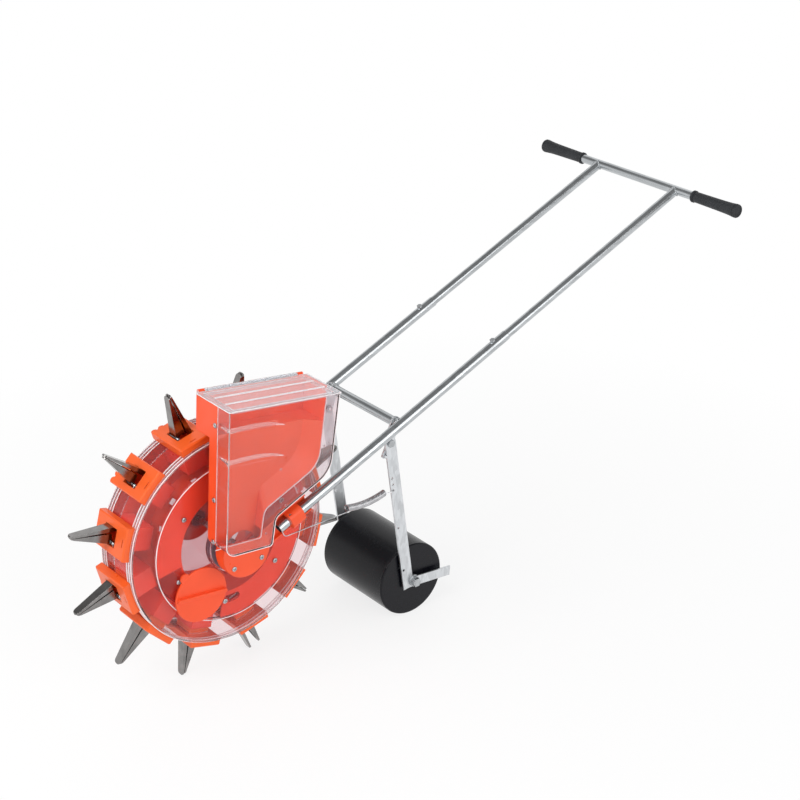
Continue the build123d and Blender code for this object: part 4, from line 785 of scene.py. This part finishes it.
def screw_grid(sizes, middle_place, axis, turn, long):
    """Pan-head screw with a cross recess.

    The head's top, at a radius r, is at h (1 - 0.45 (r/R)^4). The recess goes down by its depth where the
    smaller of |x| and |y| is less than R/6 and the larger is less than 0.6 R, with sloped sides.
    """
    first = unit(np.cross(axis, SCREW_ASKEW))
    first = spoke(turn, first, np.cross(axis, first))
    radius = sizes.head
    inner = np.linspace(*SCREW_SHARES, SCREW_ROWS) * radius
    angle = whole_turn(SCREW_SIDES)[:, 0]
    x = np.abs(inner[:, None] * np.cos(angle))
    y = np.abs(inner[:, None] * np.sin(angle))
    dome = sizes.head_height * (1 - SCREW_DOME * (inner[:, None] / radius) ** 4)
    across = np.clip((CROSS_HALF * radius - np.minimum(x, y)) / (CROSS_SLOPE * radius), 0, 1)
    along = np.clip((CROSS_REACH * radius - np.maximum(x, y)) / (CROSS_END * radius), 0, 1)
    top = dome - sizes.recess * across * along
    lower = np.array([-long, -long, 0.0, 0.0, SCREW_DOME * sizes.head_height])
    heights = np.concatenate([np.repeat(lower[:, None], SCREW_SIDES, axis=1), top])
    radii = np.concatenate([[SCREW_TIP, sizes.shank, sizes.shank, radius, radius], inner])
    total = long + sizes.head_height
    seat = middle_place - axis * (total / 2 - long)
    return turned_grid(seat, axis, first, heights, radii, SCREW_SIDES)


def peg_grid(sizes, place):
    """Low domed peg on the near wall of the hopper: at a radius r it stands off by h sqrt(1 - (r/R)^2)."""
    centre = AXLE + np.array((place[0], HOPPER_WALL - sizes.level_bead, place[1]))
    share = np.sin(np.linspace(0, PEG_ARC, PEG_ROWS))[::-1]
    radii = np.concatenate([[sizes.peg], np.maximum(share, PEG_TIP) * sizes.peg])
    heights = np.concatenate([[0.0], PEG_FOOT + sizes.peg_height * np.sqrt(1 - share ** 2)])
    return turned_grid(centre, ACROSS, UP, heights, radii, PEG_SIDES)


# Pale lines on the edges and ribs of the clear mouldings, and frosted level marks: painted highlights

ROUND_STEPS = 14
RIM_STEPS = 240
EDGE_SIDES = 8
RIM_LEVELS = (0.0585, 0.0513, 0.0441, -0.0395, -0.0323, -0.0251)
RIM_RADIUS = 0.2046
HOPPER_OUTLINE = ((0.0641, 0.0720, 0.0), (0.0669, 0.0261, 0.020), (-0.0310, 0.0175, 0.007),
                  (-0.0404, 0.0710, 0.018), (-0.1620, 0.1245, 0.050), (-0.1840, 0.2712, 0.0))
HOPPER_WALLS = (0.1185, 0.1535)
HOPPER_CORNER = (0.050, 0.0, 0.302)
# Level marks: frosted bands that are painted highlights on the level beads
MARK_DROPS = (0.034, 0.093)
MARK_ROUND = 0.002
MARK_FRONT = 0.022
MARK_LONG = 0.115
MARK_BOW = 0.014
MARK_POWER = 3.5
MARK_SHARES = (0.03, 0.99)
MARK_WIDTHS = (0.4, 0.8, 1.0)
MARK_SIDES = 16
LID_HALF = 0.1196
LID_FAR = 0.0060
LID_NEAR = 0.1080
LID_EDGE_LEVEL = -0.0004
LID_RIB_HALF = 0.1060
LID_RIB_LEVEL = 0.0013
LID_RIB_SHARES = (0.36, 0.68)


def rim_rib_grids(sizes):
    """Pale circles about the axle, painted highlights, one on every second rib of the rims and one on the
    step of the near face.
    """
    spokes = spoke(whole_turn(RIM_STEPS), UP, np.cross(ACROSS, UP))
    paths = [AXLE + ACROSS * level + RIM_RADIUS * spokes for level in RIM_LEVELS]
    paths.append(AXLE + ACROSS * STEP_LEVEL + STEP_RADIUS * spokes)
    return [ring_grid(path, ACROSS, sizes.rim_rib, EDGE_SIDES, closed=True) for path in paths]


def rounded_path(corners, level):
    """Side-view path with round corners, set across the planter at one level.

    At a corner of radius r the directions come and go differ by twice the angle h. The arc's centre lies
    r / cos h from the corner towards I = unit(go - come), and with A = unit(go + come) its points are
    centre + r (sin a A - cos a I) for angles a from -h to h.
    """
    places = np.array([(x, level, z) for x, z, _ in corners]) + AXLE
    points = [places[:1]]
    for before, corner, after, (_, _, radius) in zip(places, places[1:], places[2:], corners[1:]):
        come = unit(corner - before)
        go = unit(after - corner)
        half = np.arccos(np.dot(come, go)) / 2
        inward = unit(go - come)
        angle = np.linspace(-half, half, ROUND_STEPS)[:, None]
        centre = corner + inward * radius / np.cos(half)
        points.append(centre + radius * (np.sin(angle) * unit(go + come) - np.cos(angle) * inward))
    points.append(places[-1:])
    return np.concatenate(points)


def hopper_edge_grids(sizes):
    """Pale lines, painted highlights, on the edge of the hopper's near wall and on the edge behind it where
    the clear half meets the orange one.
    """
    seam, near = HOPPER_WALLS
    return [ring_grid(rounded_path(HOPPER_OUTLINE, near), ACROSS, sizes.edge, EDGE_SIDES),
            ring_grid(rounded_path(HOPPER_OUTLINE[1:], seam), ACROSS, sizes.edge, EDGE_SIDES)]


def painted_glint_grid(sizes, drop):
    """Painted highlight on a level bead of the hopper: a frosted band from the front wall round the corner
    and in an arch along the near wall.

    At a share t along the near wall the half height is w sqrt(1 - t^2) and the arch has dropped by its bow
    times t^3.5. Across the band, at an angle a, a point lies cos a times the depth off the wall and sin a
    times the half height along the front edge.
    """
    edge = np.cross(ACROSS, -FRONT_WALL)
    wall = HOPPER_WALL - sizes.level_bead
    corner = AXLE + np.array(HOPPER_CORNER) - edge * drop + ACROSS * wall
    inner = corner - (FRONT_WALL + ACROSS) * MARK_ROUND
    round_off = spoke(np.linspace(0, pi / 2, ROUND_STEPS)[:, None], FRONT_WALL, ACROSS)
    share = np.linspace(*MARK_SHARES, LEG_COUNT)[:, None]
    front = inner + FRONT_WALL * MARK_ROUND
    near = inner + ACROSS * MARK_ROUND
    path, off = join_stretches([
        (line(front - ACROSS * MARK_FRONT, front), FRONT_WALL),
        (inner + MARK_ROUND * round_off, round_off),
        (near - FRONT_WALL * MARK_LONG * share - UP * MARK_BOW * share ** MARK_POWER, ACROSS),
    ])
    start, bend, full = MARK_WIDTHS
    wide = np.concatenate([np.linspace(start, bend, BEND_COUNT), np.linspace(bend, full, ROUND_STEPS),
                           np.sqrt(1 - share[:, 0] ** 2)])
    turn = whole_turn(MARK_SIDES)[None]
    height = (wide * sizes.mark_width)[:, None, None]
    return path[:, None] + np.cos(turn) * sizes.mark_depth * off[:, None] + np.sin(turn) * height * edge


def lid_rib_grids(sizes):
    """Pale ribs along the lid and a pale rolled edge round it, in the plane of its hinge: painted highlights
    on the lid's ribs and edges.
    """
    hinge = joint_place("lid_hinge")
    along = unit(np.array(JOINTS["lid_hinge"]["axis"], float))
    off = np.cross(along, ACROSS)
    far = hinge + ACROSS * LID_FAR + off * LID_EDGE_LEVEL
    near = hinge + ACROSS * LID_NEAR + off * LID_EDGE_LEVEL
    ends = along * LID_HALF
    edges = [(far - ends, far + ends), (near - ends, near + ends),
             (far - ends, near - ends), (far + ends, near + ends)]
    grids = [ring_grid(np.stack(edge), off, sizes.edge, EDGE_SIDES) for edge in edges]
    for share in LID_RIB_SHARES:
        rib = hinge + ACROSS * (LID_FAR + (LID_NEAR - LID_FAR) * share) + off * LID_RIB_LEVEL
        path = np.stack([rib - along * LID_RIB_HALF, rib + along * LID_RIB_HALF])
        grids.append(ring_grid(path, off, sizes.lid_rib, EDGE_SIDES))
    return grids


# Stage

CAMERA_AZIMUTH = radians(140.939)
CAMERA_ELEVATION = radians(24.976)
CAMERA_ROLL = radians(0.421)
CAMERA_DISTANCE = 3.5767
CAMERA_AIM = np.array((-0.04841, 0.0, 0.41835))
CAMERA_FOCUS = 1839.52
PHOTO_WIDTH = 800
FLOOR_REACH = 14.0
FLOOR_ROWS = 8
FLOOR_SHADED = 0.3
FLOOR_WHITE = 1.4
WALL_TOP = radians(14)
CEILING_START = radians(30)
SCREEN_OUTER = radians(40)
SCREEN_INNER = radians(26)
LAMP_AIM = (0, 0, 0.3)
KEY_PLACE = (2.2, 0.3, 2.6)
KEY_SIZE = 2.2
SIDE_PLACE = (-0.2, 3.0, 1.7)
SIDE_SIZE = 2.4


def towards_camera():
    """Direction from the aim point to the camera."""
    flat = cos(CAMERA_ELEVATION)
    return np.array((sin(CAMERA_AZIMUTH) * flat, -cos(CAMERA_AZIMUTH) * flat, sin(CAMERA_ELEVATION)))


def place_camera():
    """Camera that looks at the aim point from its azimuth and elevation, slightly rolled."""
    back = towards_camera()
    right = unit(np.cross(-back, UP))
    above = np.cross(right, -back)
    rolled = spoke(CAMERA_ROLL, right, above)
    above = spoke(CAMERA_ROLL, above, -right)
    data = bpy.data.cameras.new("camera")
    data.lens = CAMERA_FOCUS * data.sensor_width / PHOTO_WIDTH
    camera = bpy.data.objects.new("camera", data)
    camera.matrix_world = Matrix.Translation(CAMERA_AIM + back * CAMERA_DISTANCE) @ Matrix(
        np.stack([rolled, above, back], axis=1)).to_4x4()
    bpy.context.scene.collection.objects.link(camera)
    bpy.context.scene.camera = camera


def add_lamp(name, place, size, power):
    """Soft square lamp that points at the planter."""
    data = bpy.data.lights.new(name, "AREA")
    data.energy = power
    data.size = size
    lamp = bpy.data.objects.new(name, data)
    lamp.location = place
    lamp.rotation_euler = (Vector(LAMP_AIM) - Vector(place)).to_track_quat("-Z", "Y").to_euler()
    bpy.context.scene.collection.objects.link(lamp)


def floor_finish(studio):
    """Pale seamless floor: shaded beside the planter, and plain white to the eye further out."""
    material, tree, shader = new_finish("floor")
    places = object_places(tree)
    cloud = spread(tree, noise(tree, places, scale=1.5), 0.0, 1.0)
    tint = tones(tree, cloud, studio.floor, dark=0.99, bright=1.01)
    set_sockets(tree, shader, Base_Color=tint, Roughness=0.9)
    light = add_node(tree, "ShaderNodeLightPath")
    seen = light.outputs["Is Camera Ray"]
    for kind in ("Is Glossy Ray", "Is Transmission Ray"):
        seen = calculate(tree, "MAXIMUM", seen, light.outputs[kind])
    away = from_origin(tree, places)
    share = spread(tree, away, studio.wash, 1.0, start=FLOOR_SHADED, end=FLOOR_WHITE)
    white = add_node(tree, "ShaderNodeEmission", Color=(1, 1, 1, 1), Strength=1.0)
    bright = calculate(tree, "MULTIPLY", seen, share)
    surface = mix_shaders(tree, bright, shader.outputs[0], white.outputs[0])
    plug(tree, tree.nodes["Material Output"].inputs["Surface"], surface)
    return material


def light_world(ceiling):
    """White studio towards the horizon and on a screen behind the planter, dimmer overhead."""
    world = bpy.data.worlds.new("studio")
    world.use_nodes = True
    tree = world.node_tree
    towards = add_node(tree, "ShaderNodeTexCoord").outputs["Generated"]
    height = add_node(tree, "ShaderNodeSeparateXYZ", Vector=towards).outputs["Z"]
    wall = spread(tree, height, 1.0, ceiling, start=sin(WALL_TOP), end=sin(CEILING_START))
    facing = dot_product(tree, towards, towards_camera() * (-1, -1, 1))
    screen = spread(tree, facing, 0.0, 1.0, start=cos(SCREEN_OUTER), end=cos(SCREEN_INNER))
    ground = tree.nodes["Background"]
    ground.inputs["Color"].default_value = (1, 1, 1, 1)
    plug(tree, ground.inputs["Strength"], calculate(tree, "MAXIMUM", wall, screen))
    bpy.context.scene.world = world


# Operators

def paint(material, *nodes):
    """Give CAD nodes a finish."""
    for name in nodes:
        mesh = NODES[name].data
        mesh.materials.clear()
        mesh.materials.append(material)


class PLANTER_OT_plastics(bpy.types.Operator):
    """Finish the moulded plastic pieces"""
    bl_idname = "planter.plastics"
    bl_label = "Plastic pieces"

    def execute(self, context):
        tints = context.scene.planter_colours
        paint(moulded("orange_moulding", tints.orange), "hopper_back_shell", "cleanout_cap",
              "left_tube_clamp", "right_tube_clamp", "far_hub_plate")
        paint(moulded("base_moulding", tints.base), "opener_bases")
        paint(moulded("ring_moulding", tints.ring), "seed_ring")
        paint(moulded("red_moulding", tints.red), "seed_chutes", "feed_spout")
        paint(clear_moulded("clear_moulding", tints.clear), "hopper_front_shell")
        paint(clear_moulded("near_moulding", tints.near, index=1.24, edge_radius=0.0003, rim=tints.rim),
              "near_disc")
        paint(clear_moulded("lid_moulding", tints.lid, clear=0.90, index=1.5), "hopper_lid")
        paint(clear_moulded("far_moulding", tints.far, clear=0.97, index=1.3, edge_radius=0.0003),
              "far_disc")
        paint(moulded("bearing_moulding", tints.bearing, gloss=(0.4, 0.55)),
              "near_bearing", "far_bearing", "roller_bushes")
        return {"FINISHED"}


class PLANTER_OT_metals(bpy.types.Operator):
    """Finish the tubes, plates, jaws and fasteners"""
    bl_idname = "planter.metals"
    bl_label = "Metal pieces"

    def execute(self, context):
        tints = context.scene.planter_colours
        rise = np.arctan2(UP_TUBE[2], -UP_TUBE[0])
        lean = np.arctan2(-DOWN_ARM[0], -DOWN_ARM[2])
        paint(zinc_coat("zinc_tube", tints.zinc, turn=(0, -rise, 0), stretch=(0.12, 1, 1)),
              "left_upper_tube", "right_upper_tube", "left_lower_tube", "right_lower_tube")
        paint(zinc_coat("zinc_bar", tints.zinc, stretch=(1, 0.12, 1)), "handlebar", "cross_tube")
        plate = zinc_coat(
            "zinc_plate", tints.plate, turn=(0, lean, 0), stretch=(1, 1, 0.3), gloss=(0.30, 0.48))
        paint(plate, "left_roller_arm", "right_roller_arm", "scraper_arms", "scraper_blade", "pivot_lugs")
        moving_jaws = [name for name in NODES if name.startswith("moving_jaw_")]
        paint(polished("polished_beak", tints.beak), "fixed_jaws", *moving_jaws)
        paint(polished("plated_fastener", shade(tints.zinc, 0.95)[:3], gloss=(0.20, 0.34)),
              "tube_joint_bolts", "arm_pivot_bolts", "clamp_bolts", "axle", "axle_nuts", "jaw_hinge_pins",
              "roller_axle", "roller_axle_nuts")
        paint(polished("bright_pin", tints.pin, gloss=(0.40, 0.55)), "lid_hinge_pin")
        return {"FINISHED"}


class PLANTER_OT_dark_pieces(bpy.types.Operator):
    """Finish the roller and the gasket"""
    bl_idname = "planter.dark_pieces"
    bl_label = "Roller and gasket"

    def execute(self, context):
        tints = context.scene.planter_colours
        paint(satin_black("roller_coat", tints.roller), "roller_drum", "roller_end_caps")
        paint(rubbered("gasket_rubber", tints.rubber, grain=900.0, depth=0.0001), "cap_gasket")
        return {"FINISHED"}


class PLANTER_OT_springs(bpy.types.Operator):
    """Wind the tension springs and the jaw springs"""
    bl_idname = "planter.springs"
    bl_label = "Springs"

    def execute(self, context):
        sizes = context.scene.planter_springs
        tint = context.scene.planter_colours.spring
        wire = polished("spring_wire", tint, gloss=(0.16, 0.30), edge=0.0002)
        for word, side in SIDES.items():
            grid = tension_spring_grid(sizes, side)
            spring = make_piece(f"{word}_wound_spring", [grid], wire)
            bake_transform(spring)
            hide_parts(f"{word}_tension_spring")
        grids = [jaw_spring_grid(sizes, joint) for name, joint in JOINTS.items() if name.startswith("jaw_")]
        wound = make_piece("wound_jaw_springs", grids, wire)
        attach(wound, "wheel")
        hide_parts("jaw_springs")
        return {"FINISHED"}


class PLANTER_OT_grips(bpy.types.Operator):
    """Turn the two hand grips"""
    bl_idname = "planter.grips"
    bl_label = "Grips"

    def execute(self, context):
        rubber = rubbered("grip_rubber", context.scene.planter_colours.rubber)
        for word, side in SIDES.items():
            grid = grip_grid(context.scene.planter_grips, f"{word}_grip", side)
            grip = make_piece(f"{word}_turned_grip", [grid], rubber)
            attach(grip, "frame")
            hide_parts(f"{word}_grip")
        return {"FINISHED"}


class PLANTER_OT_welds(bpy.types.Operator):
    """Lay the weld beads of the handle"""
    bl_idname = "planter.welds"
    bl_label = "Welds"

    def execute(self, context):
        tint = shade(context.scene.planter_colours.zinc, 0.85)[:3]
        zinc = zinc_coat("zinc_weld", tint, gloss=(0.34, 0.5))
        grids = weld_grids(context.scene.planter_trim)
        beads = make_piece("weld_beads", grids, zinc, closed=True)
        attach(beads, "frame")
        return {"FINISHED"}


class PLANTER_OT_screws(bpy.types.Operator):
    """Put in the screws of the hopper and the drum"""
    bl_idname = "planter.screws"
    bl_label = "Screws"

    def execute(self, context):
        sizes = context.scene.planter_trim
        tint = context.scene.planter_colours.zinc
        plated = polished("plated_screw", tint, gloss=(0.20, 0.34), edge=0.0002)
        for node, body in (("hopper_screws", "frame"), ("drum_screws", "wheel")):
            grids = []
            for index, place in enumerate(screw_places(node)):
                on_front = body == "frame" and place[2] > WHEEL[2]
                axis = FRONT_WALL if on_front else ACROSS
                grids.append(screw_grid(sizes, place, axis, SCREW_TURN * index, SCREW_LONG[node]))
            screws = make_piece(f"cross_{node}", grids, plated)
            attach(screws, body)
            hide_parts(node)
        return {"FINISHED"}


class PLANTER_OT_pegs(bpy.types.Operator):
    """Set the clear pegs on the hopper"""
    bl_idname = "planter.pegs"
    bl_label = "Pegs"

    def execute(self, context):
        grids = [peg_grid(context.scene.planter_trim, place) for place in PEG_PLACES]
        clear = bpy.data.materials["clear_moulding"]
        pegs = make_piece("hopper_pegs", grids, clear)
        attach(pegs, "frame")
        return {"FINISHED"}


class PLANTER_OT_pale_edges(bpy.types.Operator):
    """Lay the pale lines on the ribs and edges of the drum, the hopper and the lid, and the frosted level
    marks, all painted highlights
    """
    bl_idname = "planter.pale_edges"
    bl_label = "Pale edges"

    def execute(self, context):
        sizes = context.scene.planter_trim
        tints = context.scene.planter_colours
        # Pale lines that paint the highlights on the ribs and edges of the clear mouldings
        pale = moulded("painted_highlight_moulding", tints.pale, gloss=(0.30, 0.45), edge=0.0002)
        ribs = make_piece("drum_rib_highlights", rim_rib_grids(sizes), pale, closed=True)
        edges = make_piece("hopper_edge_highlights", hopper_edge_grids(sizes), pale)
        lines = make_piece("lid_rib_highlights", lid_rib_grids(sizes), pale)
        # Frosted level marks, painted highlights on the hopper's level beads
        glint_finish = clear_moulded("painted_glint_marks", tints.mark, clear=0.88, index=1.3, edge_radius=0.0002)
        grids = [painted_glint_grid(sizes, drop) for drop in MARK_DROPS]
        marks = make_piece("painted_glint_bands", grids, glint_finish)
        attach(marks, "frame")
        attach(ribs, "wheel")
        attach(edges, "frame")
        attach(lines, "lid")
        return {"FINISHED"}


class PLANTER_OT_stage(bpy.types.Operator):
    """Set up the floor, the light and the camera"""
    bl_idname = "planter.stage"
    bl_label = "Stage"

    def execute(self, context):
        studio = context.scene.planter_studio
        context.scene.view_settings.view_transform = "Standard"
        count = FLOOR_ROWS + 1
        reach = np.linspace(-FLOOR_REACH, FLOOR_REACH, count)
        x, y = np.meshgrid(reach, reach, indexing="ij")
        corner = (np.arange(FLOOR_ROWS)[:, None] * count + np.arange(FLOOR_ROWS)[None]).ravel()
        quads = np.stack([corner, corner + count, corner + count + 1, corner + 1], axis=-1)
        mesh = bpy.data.meshes.new("floor")
        mesh.from_pydata(np.stack([x, y, 0 * x], axis=-1).reshape(-1, 3), [], quads.tolist())
        mesh.materials.append(floor_finish(studio))
        floor = bpy.data.objects.new("floor", mesh)
        context.scene.collection.objects.link(floor)
        light_world(studio.ceiling)
        add_lamp("key", KEY_PLACE, KEY_SIZE, studio.key)
        add_lamp("side", SIDE_PLACE, SIDE_SIZE, studio.side)
        place_camera()
        return {"FINISHED"}


class PLANTER_PT_looks(bpy.types.Panel):
    """Buttons for every step and the settings behind them"""
    bl_label = "Seed planter looks"
    bl_idname = "PLANTER_PT_looks"
    bl_space_type = "VIEW_3D"
    bl_region_type = "UI"
    bl_category = "Planter"

    def draw(self, context):
        for step in STEPS:
            self.layout.operator(step.bl_idname)
        for name in SETTINGS:
            box = self.layout.box()
            group = getattr(context.scene, name)
            for key in group.bl_rna.properties.keys():
                if key not in ("rna_type", "name"):
                    box.prop(group, key)


STEPS = (PLANTER_OT_plastics, PLANTER_OT_metals, PLANTER_OT_dark_pieces, PLANTER_OT_springs,
         PLANTER_OT_grips, PLANTER_OT_welds, PLANTER_OT_screws, PLANTER_OT_pegs, PLANTER_OT_pale_edges,
         PLANTER_OT_stage)
SETTINGS = {"planter_colours": PlanterColours, "planter_springs": PlanterSprings,
            "planter_grips": PlanterGrips, "planter_trim": PlanterTrim, "planter_studio": PlanterStudio}
CLASSES = (*SETTINGS.values(), *STEPS, PLANTER_PT_looks)


def register():
    """Register the classes and hang the settings on the scene."""
    for kind in CLASSES:
        bpy.utils.register_class(kind)
    for name, group in SETTINGS.items():
        setattr(bpy.types.Scene, name, bpy.props.PointerProperty(type=group))


def unregister():
    """Take the settings and the classes away."""
    for name in SETTINGS:
        delattr(bpy.types.Scene, name)
    for kind in reversed(CLASSES):
        bpy.utils.unregister_class(kind)


def main():
    """Run every step in order."""
    register()
    for step in STEPS:
        getattr(bpy.ops.planter, step.bl_idname.split(".")[1])()


if __name__ == "__main__":
    main()
